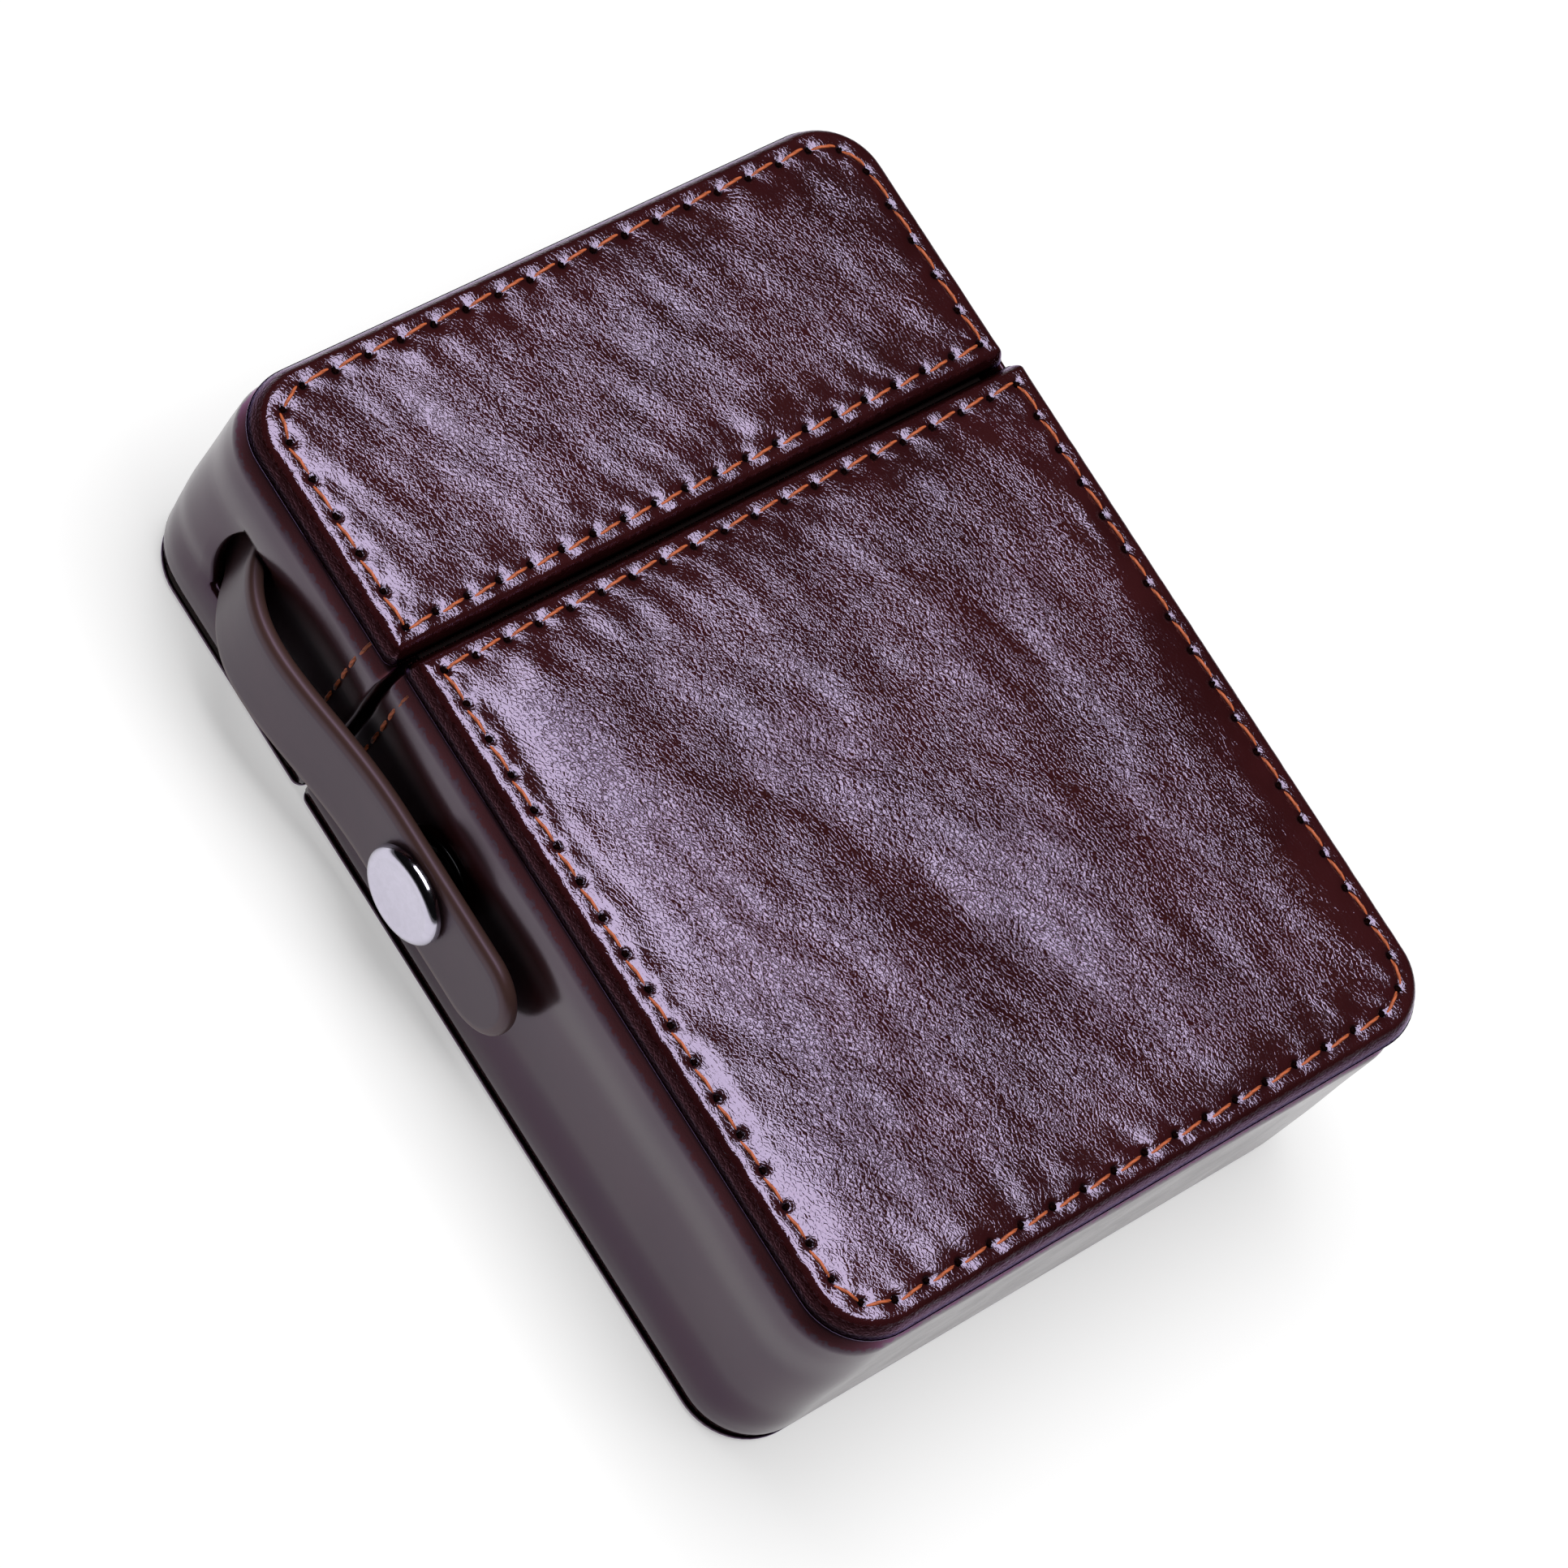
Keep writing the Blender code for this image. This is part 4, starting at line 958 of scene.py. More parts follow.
def make_wall(node, sizes, slot=None):
    """A wall: a band of leather carried round three sides of a half, rolled in at all its borders.

    Its outer skin follows the path, moved in by the rolls at its shoulders and at the split, and
    out by its flare, a bulge and seeded waves. Its inner skin lies a wall's thickness inside. A
    slot leaves cells out, and the leather dips a little round it.
    """
    least_left, bulge_reach, calm_reach = 0.00015, 0.012, (0.001, 0.005)
    low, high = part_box(node)
    is_body = node.startswith("body")
    split, end = (high.y + WALL_REACH, low.y) if is_body else (low.y - WALL_REACH, high.y)
    places, outwards, distance = wall_path(low.x, high.x, split, end, slot[0] if slot else ())
    for value in slot[0] if slot else ():
        on_left = places[:, 0] < low.x + 1e-6
        places[np.where(on_left, np.abs(places[:, 1] - value), 1.0).argmin(), 1] = value
    base = low.z - sizes.lap
    levels = wall_levels(base, high.z, sizes, slot)
    z, from_split = levels[None, :], distance[:, None]
    shoulders = turned_shoulder(high.z - z, sizes)
    shoulders = shoulders + corner_drop(z - base, sizes.back_length, sizes.back_depth)
    rolls = np.hypot(shoulders, corner_drop(from_split, sizes.end_length, sizes.end_depth))
    flare = wall_flare(outwards[:, 0][:, None], outwards[:, 1][:, None], z, sizes, is_body)
    rolls = np.minimum(rolls, sizes.wall + flare - least_left)
    bulge = sizes.bulge * np.sin(math.pi * (z - low.z) / (high.z - low.z))
    bulge = bulge * smooth_step(from_split, 0.0, bulge_reach)
    uneven = WALL_UNEVEN * waves(*np.broadcast_arrays(way_walked(places)[:, None], z), WALL_WAVES)
    uneven = uneven * smooth_step(np.minimum(z - base, high.z - z), *calm_reach)
    offset = flare + bulge - rolls + uneven
    solid = np.ones((len(places) - 1, len(levels) - 1), bool)
    if slot:
        offset = offset - slot_dip(places, z, slot, low.x)
        solid &= ~slot_cells(places, levels, slot, low.x)
    # Masks of the painted dark-red reflection on the front shoulder and of the painted shade at its top,
    # beside the panel
    bent, shade = (1.0 - smooth_step(high.z - z, *reach) for reach in (SHOULDER_REACH, SHADE_REACH))
    skins = []
    for moved in (offset, np.full_like(offset, -sizes.wall)):
        flat = places[:, None] + outwards[:, None] * moved[..., None]
        if slot:
            fit_lid_wall(flat, z, slot, low.x)
        columns = [flat] + [np.broadcast_to(values, moved.shape) for values in (z, bent, shade)]
        skins.append(np.dstack(columns).reshape(-1, 5))
    points, quads = used_only(np.concatenate(skins), sheet_quads(solid, len(skins[0])))
    masks = {"edge": points[:, 3], "shade": points[:, 4]}
    return mesh_object(node.replace("_band", "_wall"), points[:, :3], quads, attributes=masks)


def make_plate(name, shape, depth, steps, profile, place, attribute=None):
    """A flat strip of leather with worked edges, laid out flat and then put in its place.

    Rings follow its outline from the middle of one face to the middle of the other: the profile
    gives each ring's inset and height. The place function takes across, along and height. The
    steps are those across, along and round a corner.
    """
    outer, grid, nodes = ring_outline(shape, depth, *steps)
    lean = (grid[nodes] - outer) / depth
    rings = [outer + inset * lean for inset, _ in profile]
    around, inner = len(outer), len(grid)
    flat = np.concatenate([grid] + rings + [grid])
    counts = [inner] + [around] * len(profile) + [inner]
    insets, heights = np.array(profile).T
    heights = np.repeat([heights[0], *heights, heights[-1]], counts)
    insets = np.repeat([depth, *insets, depth], counts)
    last = inner + around * (len(profile) - 1)
    second = last + around
    first_quads, first_triangles = rim_faces(inner + np.arange(around), nodes)
    last_quads, last_triangles = rim_faces(last + np.arange(around), second + nodes)
    top_grid = grid_quads(steps[0] + 1, steps[1] + 1)
    quads = np.concatenate([
        loop_quads(around, len(profile), inner), first_quads[:, ::-1], last_quads,
        top_grid[:, ::-1], top_grid + second,
    ])
    triangles = np.concatenate([first_triangles[:, ::-1], last_triangles])
    points = place(flat[:, 0], flat[:, 1], heights)
    return mesh_object(name, points, quads, triangles, None, {attribute: insets} if attribute else None)


def revolve(name, profile, centre, steps):
    """A turned piece: a profile of radii and heights carried round the snap's axis, heights to -X.

    The profile starts and ends on the axis, where its rings close to a point.
    """
    profile = np.array(profile)
    rings = profile[1:-1]
    angle = ring_angles(steps)
    ring_y = rings[:, 0][:, None] * np.cos(angle)
    ring_z = rings[:, 0][:, None] * np.sin(angle)
    ring_x = np.broadcast_to(-rings[:, 1][:, None], ring_y.shape)
    body = np.stack([ring_x, ring_y, ring_z], axis=-1).reshape(-1, 3)
    poles = np.array([[-profile[0, 1], 0.0, 0.0], [-profile[-1, 1], 0.0, 0.0]])
    points = np.concatenate([body, poles]) + np.array(centre)
    tip = len(body)
    first = fan_faces(steps, 0, tip)[:, [1, 0, 2]]
    last = fan_faces(steps, tip - steps, tip + 1)
    return mesh_object(name, points, loop_quads(steps, len(rings)), np.concatenate([first, last]))


def feed(tree, entry, value):
    """Links a socket to a node's input, or sets the input to a number or a colour."""
    if isinstance(value, bpy.types.NodeSocket):
        tree.links.new(value, entry)
    else:
        entry.default_value = value


def set_inputs(tree, item, **values):
    """Feeds each input of a node that is named, with its spaces written as underscores."""
    for key, value in values.items():
        feed(tree, item.inputs[key.replace("_", " ")], value)


def new_node(tree, kind, settings=None, **values):
    """A shader node with its settings, and with sockets or values for the inputs that are named."""
    item = tree.nodes.new(kind)
    for key, value in (settings or {}).items():
        setattr(item, key, value)
    set_inputs(tree, item, **values)
    return item


def noise(tree, place, **values):
    """The grey value of a Noise texture at a place."""
    return new_node(tree, "ShaderNodeTexNoise", Vector=place, **values).outputs["Fac"]


def stored(tree, name):
    """A value that the mesh holds at its points."""
    return new_node(tree, "ShaderNodeAttribute", {"attribute_name": name}).outputs["Fac"]


def math_node(tree, operation, first, second=None, clamp=False):
    """A Math node fed by sockets or plain numbers."""
    item = new_node(tree, "ShaderNodeMath", {"operation": operation, "use_clamp": clamp})
    for index, value in enumerate((first, second)):
        if value is not None:
            feed(tree, item.inputs[index], value)
    return item.outputs[0]


def ramp(tree, value, low, high, to_low=0.0, to_high=1.0):
    """A smooth Map Range from low..high to to_low..to_high."""
    return new_node(
        tree, "ShaderNodeMapRange", {"interpolation_type": "SMOOTHSTEP"},
        Value=value, From_Min=low, From_Max=high, To_Min=to_low, To_Max=to_high,
    ).outputs[0]


def mix_colours(tree, factor, first, second):
    """A colour mix by a factor, whose ends are sockets or plain colours."""
    item = new_node(tree, "ShaderNodeMix", {"data_type": "RGBA"})
    for index, value in ((0, factor), (6, first), (7, second)):
        feed(tree, item.inputs[index], value)
    return item.outputs[2]


def mix_shaders(tree, factor, first, second):
    """A mix of two shaders by a factor socket."""
    item = tree.nodes.new("ShaderNodeMixShader")
    for index, socket in enumerate((factor, first, second)):
        tree.links.new(socket, item.inputs[index])
    return item.outputs[0]


def new_group(name, inputs, outputs):
    """An empty shader node group. Its sockets are given as names and kinds: Float, Vector, Color."""
    group = bpy.data.node_groups.new(name, "ShaderNodeTree")
    for direction, sockets in (("INPUT", inputs), ("OUTPUT", outputs)):
        for socket_name, kind in sockets.items():
            group.interface.new_socket(socket_name, in_out=direction, socket_type="NodeSocket" + kind)
    return group, group.nodes.new("NodeGroupInput").outputs, group.nodes.new("NodeGroupOutput")


def creased_grain_group():
    """Creased grain: short ridges that lie along the hide, with finer cells and drifting density."""
    inputs = {
        "Vector": "Vector", "Ridge Scale": "Float", "Cell Scale": "Float", "Crease Scale": "Float",
        "Crease Amount": "Float",
    }
    group, source, result = new_group("Creased grain", inputs, {"Height": "Float"})
    turned = new_node(
        group, "ShaderNodeMapping", {"vector_type": "TEXTURE"},
        Vector=source["Vector"], Rotation=(0.0, 0.0, CREASE_TURN), Scale=(1.0, 1.4, 1.0),
    ).outputs["Vector"]
    drift = new_node(group, "ShaderNodeTexNoise", Vector=turned, Scale=90.0, Detail=2.0)
    bend = new_node(group, "ShaderNodeVectorMath", {"operation": "MULTIPLY_ADD"})
    bend.inputs[1].default_value = (0.0012, 0.0012, 0.0012)
    group.links.new(drift.outputs["Color"], bend.inputs[0])
    group.links.new(turned, bend.inputs[2])
    place = bend.outputs["Vector"]
    ridges = noise(group, place, Scale=source["Ridge Scale"], Detail=1.4, Roughness=0.5)
    cells = new_node(
        group, "ShaderNodeTexVoronoi", {"feature": "DISTANCE_TO_EDGE"},
        Vector=place, Scale=source["Cell Scale"], Randomness=1.0,
    )
    cell_rise = ramp(group, cells.outputs["Distance"], 0.0, 0.22)
    lines = noise(group, place, Scale=source["Crease Scale"], Detail=3.0, Roughness=0.6, Distortion=0.8)
    from_line = math_node(group, "ABSOLUTE", math_node(group, "SUBTRACT", lines, 0.5))
    crease = ramp(group, from_line, 0.0, 0.035, 1.0, 0.0)
    height = math_node(group, "ADD", ridges, math_node(group, "MULTIPLY", cell_rise, 0.35))
    sunk = math_node(group, "MULTIPLY", crease, source["Crease Amount"])
    set_inputs(group, result, Height=math_node(group, "SUBTRACT", height, sunk))
    return group


def cloudy_group():
    """Cloudy colour: two colours drifting into each other, as dye does in leather."""
    inputs = {"Vector": "Vector", "Scale": "Float", "Light": "Color", "Dark": "Color"}
    group, source, result = new_group("Cloudy colour", inputs, {"Color": "Color", "Mask": "Float"})
    clouds = noise(group, source["Vector"], Scale=source["Scale"], Detail=4.0, Roughness=0.6)
    mask = ramp(group, clouds, 0.32, 0.68)
    set_inputs(group, result, Color=mix_colours(group, mask, source["Dark"], source["Light"]), Mask=mask)
    return group


def fine_skin_group():
    """Fine skin: the close, even surface of smooth leather or paint, with faint long streaks."""
    inputs = {
        "Vector": "Vector", "Pore Scale": "Float", "Streak Scale": "Float", "Streak Amount": "Float",
    }
    group, source, result = new_group("Fine skin", inputs, {"Height": "Float", "Streaks": "Float"})
    pores = noise(group, source["Vector"], Scale=source["Pore Scale"], Detail=2.0, Roughness=0.6)
    stretched = new_node(group, "ShaderNodeMapping", Vector=source["Vector"], Scale=(1.0, 0.25, 1.0))
    streaks = noise(
        group, stretched.outputs["Vector"],
        Scale=source["Streak Scale"], Detail=4.0, Roughness=0.65, Distortion=0.6,
    )
    weighted = math_node(group, "MULTIPLY", streaks, source["Streak Amount"])
    set_inputs(group, result, Height=math_node(group, "ADD", pores, weighted), Streaks=streaks)
    return group


def placed_group(tree, name, build, **values):
    """The node group of this name, built the first time, placed in a material with its own values."""
    group = bpy.data.node_groups.get(name) or build()
    return new_node(tree, "ShaderNodeGroup", {"node_tree": group}, **values).outputs


def new_material(name):
    """A material with its tree, its Principled shader and its Object coordinates."""
    material = bpy.data.materials.new(name)
    material.use_nodes = True
    tree = material.node_tree
    shader = tree.nodes["Principled BSDF"]
    place = tree.nodes.new("ShaderNodeTexCoord").outputs["Object"]
    return material, tree, shader, place


def add_bump(tree, shader, height, distance):
    """A Bump node between a height and the shader's normal; the distance is the relief in metres."""
    bump = new_node(tree, "ShaderNodeBump", Height=height, Strength=1.0, Distance=distance)
    set_inputs(tree, shader, Normal=bump.outputs["Normal"])


def whole(colour, share=1.0):
    """A colour with its alpha, darkened to a share of itself."""
    return (*[share * value for value in colour], 1.0)


def ragged_edge(tree, place, name):
    """A mask stored in the mesh, its border made ragged by fine noise."""
    rough = noise(tree, place, Scale=1500.0, Detail=3.0, Roughness=0.65)
    uneven = ramp(tree, rough, 0.3, 0.7, -0.35, 0.35)
    return ramp(tree, math_node(tree, "ADD", stored(tree, name), uneven), 0.25, 0.75)


def dyed(tree, place, light, dark, scale):
    """The cloudy dye of a leather, between its lighter and its darker colour."""
    return placed_group(
        tree, "Cloudy colour", cloudy_group, Vector=place, Scale=scale, Light=light, Dark=dark,
    )


def paint_reflection_and_shade(tree, shader, base, bent, reflection_colour, painted_shade_colour):
    """Paints a dark-red reflection where the leather bends at its edge, and shade in the gap past it.

    Both are made metallic in their painted dark reds, the bent part mostly and the shade wholly, so
    that they mirror that colour and the pale surroundings don't turn them grey.
    """
    shade = stored(tree, "shade")
    base = mix_colours(tree, bent, base, whole(reflection_colour))
    base = mix_colours(tree, shade, base, whole(painted_shade_colour))
    metallic = math_node(tree, "MAXIMUM", math_node(tree, "MULTIPLY", bent, 0.72), shade)
    set_inputs(tree, shader, Base_Color=base, Metallic=metallic)


def padded_leather(name, colours):
    """Glossy burgundy leather with a creased grain, painted shade in its needle holes and at its edge, a
    painted reflection on its bent side, and darker along its stitch groove.
    """
    material, tree, shader, place = new_material(name)
    grain = placed_group(
        tree, "Creased grain", creased_grain_group,
        Vector=place, Ridge_Scale=3000.0, Cell_Scale=2600.0, Crease_Scale=210.0, Crease_Amount=0.34,
    )
    dye = dyed(tree, place, whole(colours.leather), whole(colours.leather_dark), scale=70.0)
    hole, bent = stored(tree, "hole"), ragged_edge(tree, place, "side")
    # Painted shade in the needle holes, and darker along the stitch groove
    groove = math_node(tree, "MULTIPLY", stored(tree, "groove"), 0.35)
    dark = math_node(tree, "MAXIMUM", ramp(tree, hole, 0.10, 0.55), groove)
    base = mix_colours(tree, dark, dye["Color"], whole(colours.groove))
    paint_reflection_and_shade(tree, shader, base, bent, colours.painted_side_reflection, colours.shade)
    varied = ramp(tree, dye["Mask"], 0.0, 1.0, 0.15, 0.12)
    dull = ramp(tree, hole, 0.1, 0.5, 0.0, 0.05)
    duller = math_node(tree, "MAXIMUM", dull, math_node(tree, "MULTIPLY", bent, 0.03))
    set_inputs(
        tree, shader, Roughness=math_node(tree, "ADD", varied, duller, clamp=True),
        IOR=1.66, Specular_IOR_Level=0.9, Specular_Tint=PANEL_GLOSS,
    )
    slack = ramp(tree, stored(tree, "taut"), 0.0, 1.0, 1.0, 0.40)
    height = math_node(tree, "MULTIPLY", grain["Height"], slack)
    add_bump(tree, shader, height, distance=0.000076)
    return material


def wall_leather(name, colours):
    """Smooth satin leather of the walls, with a fine skin, faint streaks, a painted dark-red reflection on
    its shoulders and painted shade at their tops beside the panels.
    """
    material, tree, shader, place = new_material(name)
    skin = placed_group(
        tree, "Fine skin", fine_skin_group,
        Vector=place, Pore_Scale=4200.0, Streak_Scale=160.0, Streak_Amount=0.6,
    )
    dye = dyed(tree, place, whole(colours.wall), whole(colours.wall_dark), scale=110.0)
    bent = ragged_edge(tree, place, "edge")
    paint_reflection_and_shade(tree, shader, dye["Color"], bent, colours.painted_shoulder_reflection, colours.shade)
    satin = ramp(tree, skin["Streaks"], 0.3, 0.7, 0.17, 0.22)
    rough = math_node(tree, "ADD", satin, math_node(tree, "MULTIPLY", bent, -0.05))
    set_inputs(tree, shader, Roughness=rough, Specular_IOR_Level=0.60, Specular_Tint=WALL_GLOSS)
    add_bump(tree, shader, skin["Height"], distance=0.0000045)
    return material


def strap_leather(name, colours):
    """Grey-brown satin leather with a brown painted edge, told apart by the strap's own inset."""
    material, tree, shader, place = new_material(name)
    skin = placed_group(
        tree, "Fine skin", fine_skin_group,
        Vector=place, Pore_Scale=5200.0, Streak_Scale=160.0, Streak_Amount=0.6,
    )
    face = ramp(tree, stored(tree, "inset"), 0.00085, 0.00125)
    dye = dyed(tree, place, whole(colours.strap), whole(colours.strap, share=0.82), scale=160.0)
    base = mix_colours(tree, face, whole(colours.strap_edge), dye["Color"])
    rough = ramp(tree, face, 0.0, 1.0, 0.42, 0.36)
    set_inputs(tree, shader, Base_Color=base, Roughness=rough, Specular_Tint=STRAP_GLOSS)
    add_bump(tree, shader, skin["Height"], distance=0.0000060)
    return material


def thread_finish(name, colours):
    """Waxed thread: orange, with painted shade in the creases between its plies, and darker and lighter
    fibres along it.
    """
    material, tree, shader, place = new_material(name)
    fibres = noise(tree, place, Scale=5200.0, Detail=3.0, Roughness=0.7)
    ply_shade_and_fibres = math_node(tree, "ADD", math_node(tree, "MULTIPLY", stored(tree, "ply"), 0.5), fibres)
    mask = ramp(tree, ply_shade_and_fibres, 0.45, 0.95)
    base = mix_colours(tree, mask, whole(colours.thread, share=0.42), whole(colours.thread))
    set_inputs(tree, shader, Base_Color=base, Roughness=ramp(tree, fibres, 0.3, 0.7, 0.62, 0.48))
    add_bump(tree, shader, fibres, distance=0.000030)
    return material


def hole_shade_finish(name, colours):
    """Painted shade inside a needle hole: matt, near-black red, mottled by noise."""
    material, tree, shader, place = new_material(name)
    mask = ramp(tree, noise(tree, place, Scale=6000.0, Detail=2.0), 0.35, 0.65)
    base = mix_colours(tree, mask, whole(colours.darkest_hole_shade), whole(colours.hole))
    set_inputs(tree, shader, Base_Color=base, Roughness=1.0, Specular_IOR_Level=0.0)
    return material


def speckled(tree, shader, speckles, colour, rough_range, distance, dark_share):
    """Feeds colour, roughness and bump from one fine pattern, as on cloth or rubbed metal."""
    mask = ramp(tree, speckles, 0.3, 0.7)
    base = mix_colours(tree, mask, whole(colour, dark_share), whole(colour))
    set_inputs(tree, shader, Base_Color=base, Roughness=ramp(tree, speckles, 0.3, 0.7, *rough_range))
    add_bump(tree, shader, speckles, distance)


def lining_finish(name, colour, scale, rough_range, distance):
    """Flocked cloth or lined board: a dull, close nap of one colour."""
    material, tree, shader, place = new_material(name)
    nap = noise(tree, place, Scale=scale, Detail=4.0, Roughness=0.7)
    speckled(tree, shader, nap, colour, rough_range, distance, dark_share=0.6)
    set_inputs(tree, shader, Specular_IOR_Level=0.08)
    return material


def metal_finish(name, colour, rough_range, distance):
    """Plated metal with faint wipe marks in its polish."""
    material, tree, shader, place = new_material(name)
    marks = noise(tree, place, Scale=900.0, Detail=5.0, Roughness=0.65, Distortion=1.2)
    speckled(tree, shader, marks, colour, rough_range, distance, dark_share=0.93)
    set_inputs(tree, shader, Metallic=1.0)
    return material


def material_once(name, build, **values):
    """The material of this name, built the first time that it is asked for."""
    return bpy.data.materials.get(name) or build(name, **values)


def dress_panel(node, body, at_front, context):
    """Makes a panel's leather, its stitches and the discs of painted shade in its needle holes."""
    sizes, colours = context.scene.case_panel_sizes, context.scene.case_colours
    cover, shape, holes = make_cover(node, at_front, sizes)
    leather = material_once("Creased leather", padded_leather, colours=colours)
    finish(cover, leather, body, "padded_leather", node)
    stitches = panel_thread(node.replace("_cover", "_stitches"), shape, holes, sizes, at_front)
    thread = material_once("Waxed thread", thread_finish, colours=colours)
    finish(stitches, thread, body, "padded_leather")
    plugs = hole_shade_discs(node.replace("_cover", "_painted_hole_shade"), shape, holes, sizes, at_front)
    hole_shade_material = material_once("Needle hole", hole_shade_finish, colours=colours)
    finish(plugs, hole_shade_material, body, "padded_leather")


class CASE_OT_front_covers(Operator):
    """Make the padded front leather of the body and the lid, with its stitches"""

    bl_idname = "case.front_covers"
    bl_label = "Front Covers"

    def execute(self, context):
        dress_panel("body_front_cover", "case_body", True, context)
        dress_panel("lid_front_cover", "lid", True, context)
        return {"FINISHED"}


class CASE_OT_back_covers(Operator):
    """Make the flat back leather of the body and the lid, with its stitches"""

    bl_idname = "case.back_covers"
    bl_label = "Back Covers"

    def execute(self, context):
        dress_panel("body_back_cover", "case_body", False, context)
        dress_panel("lid_back_cover", "lid", False, context)
        return {"FINISHED"}


def slot_box():
    """The strap's slot in the lid's wall, in y and z, from the strap's own place."""
    below_top, half_y, play = 0.0109, 0.0031, 0.0004
    strap_low, strap_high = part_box("snap_strap")
    middle_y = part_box("lid_side_band")[1].y - below_top
    middle_z = (strap_low.z + strap_high.z) / 2
    half_z = (strap_high.z - strap_low.z) / 2 + play
    return (middle_y - half_y, middle_y + half_y), (middle_z - half_z, middle_z + half_z)


class CASE_OT_walls(Operator):
    """Make the leather walls of the body and the lid, with the stitches beside the split"""

    bl_idname = "case.walls"
    bl_label = "Walls"

    def execute(self, context):
        sizes, colours = context.scene.case_wall_sizes, context.scene.case_colours
        leather = material_once("Smooth leather", wall_leather, colours=colours)
        thread = material_once("Waxed thread", thread_finish, colours=colours)
        # Each half's slot, and how far its stitches stand from the split and from the wall's borders
        rows = (
            ("case_body", "body_side_band", None, -0.0017, 0.0015),
            ("lid", "lid_side_band", slot_box(), 0.0029, 0.0006),
        )
        for body, node, slot, from_split, margin in rows:
            finish(make_wall(node, sizes, slot), leather, body, "wall_leather", node)
            low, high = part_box(node)
            split = high.y if node.startswith("body") else low.y
            levels = stitch_levels(low.z, high.z, margin)
            lean = lid_set_in(levels) if body == "lid" else np.zeros(len(levels))
            flare = wall_flare(
                outward_x=-1.0, outward_y=0.0, z=levels, sizes=sizes, is_body=body == "case_body",
            )
            x = low.x + (lean - flare) + turned_shoulder(high.z - levels, sizes)
            name = node.replace("_side_band", "_wall_stitches")
            stitches = row_of_stitches(
                name, x, split + from_split, levels,
                slant=0.00010, gap=0.00015, outward_x=-1.0, radius=0.00021, sink=0.00030,
            )
            finish(stitches, thread, body, "wall_leather")
        return {"FINISHED"}


def bezier(start, first, second, end, points):
    """Points of a cubic Bezier from start to end, with its two handles."""
    t = np.linspace(0.0, 1.0, points)[:, None]
    s = 1.0 - t
    return s ** 3 * start + 3 * s * s * t * first + 3 * s * t * t * second + t ** 3 * end


def strap_line():
    """The strap's middle line in side view, and the distance walked along it.

    It starts inside the lid's wall, leaves the slot, bows out as a Bezier and runs flat to its end.
    """
    low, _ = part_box("snap_strap")
    anchor_low, anchor_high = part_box("strap_anchor")
    above_slot, bow_start, bow_end, turn_share = 0.0018, 0.0095, 0.0130, 0.35
    bow_points, root_points = 160, 40
    start = np.array([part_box("lid_side_band")[0].x, slot_box()[0][0] + above_slot])
    first = start + bow_start * np.array([-math.sin(STRAP_ANGLE), -math.cos(STRAP_ANGLE)])
    flat = np.array([STRAP_FLAT_X, STRAP_FLAT_Y])
    bow = bezier(start, first, flat + np.array([0.0, bow_end]), flat, bow_points)
    inner_x, below_end, turn_rise = anchor_low.x + 0.0024, 0.0005, 0.0045
    inside = np.array([inner_x, anchor_high.y - below_end])
    turn = np.array([inner_x, start[1] + turn_rise])
    root = bezier(inside, turn, start - (first - start) * turn_share, start, root_points)
    line = np.concatenate([root[:-1], bow, [[STRAP_FLAT_X, low.y]]])
    return line, way_walked(line)


def strap_place(line, walked, middle_z, root_length):
    """Puts flat strap points on its middle line: across becomes z, along becomes the way walked.

    Near the slot the way walked is skewed by the place across, so the strap's front edge leaves
    the wall a little higher than its back edge. The root inside the wall is half as thick.
    """
    skew_share, skew_reach = 0.09, (0.002, 0.022)
    thin_share, thin_reach = 0.5, (0.4 * root_length, root_length)
    slopes = np.diff(line, axis=0) / np.diff(walked)[:, None]
    middles = (walked[1:] + walked[:-1]) / 2

    def place(across, along, height):
        """The point at the way walked on the line, moved by the height across the line's run."""
        skew = skew_share * (1.0 - smooth_step(np.abs(along - root_length), *skew_reach))
        height = height * (thin_share + (1.0 - thin_share) * smooth_step(along, *thin_reach))
        way = np.clip(along + skew * across, 0.0, walked[-1])
        x = np.interp(way, walked, line[:, 0])
        y = np.interp(way, walked, line[:, 1])
        run_x = np.interp(way, middles, slopes[:, 0])
        run_y = np.interp(way, middles, slopes[:, 1])
        size = np.hypot(run_x, run_y)
        x = x + height * run_y / size
        y = y - height * run_x / size
        return np.column_stack([x, y, middle_z + across])

    return place


def strap_profile(edge):
    """The strap's rings from the middle of its face round its edge to the middle of its back.

    Its rounded edge is given in shares of the edge's width and of half the strap's thickness.
    """
    face = STRAP_THICK / 2
    flat_insets = (0.0040, 0.0026)
    rounded = (
        (1.3, 1.0), (1.05, 0.985), (0.90, 0.95), (0.66, 0.90), (0.42, 0.82), (0.24, 0.70),
        (0.11, 0.54), (0.03, 0.34), (0.0, 0.12), (0.0, 0.0),
    )
    upper = [(inset, face) for inset in flat_insets]
    upper += [(edge * inset, face * rise) for inset, rise in rounded]
    return upper + [(inset, -height) for inset, height in reversed(upper[:-1])]


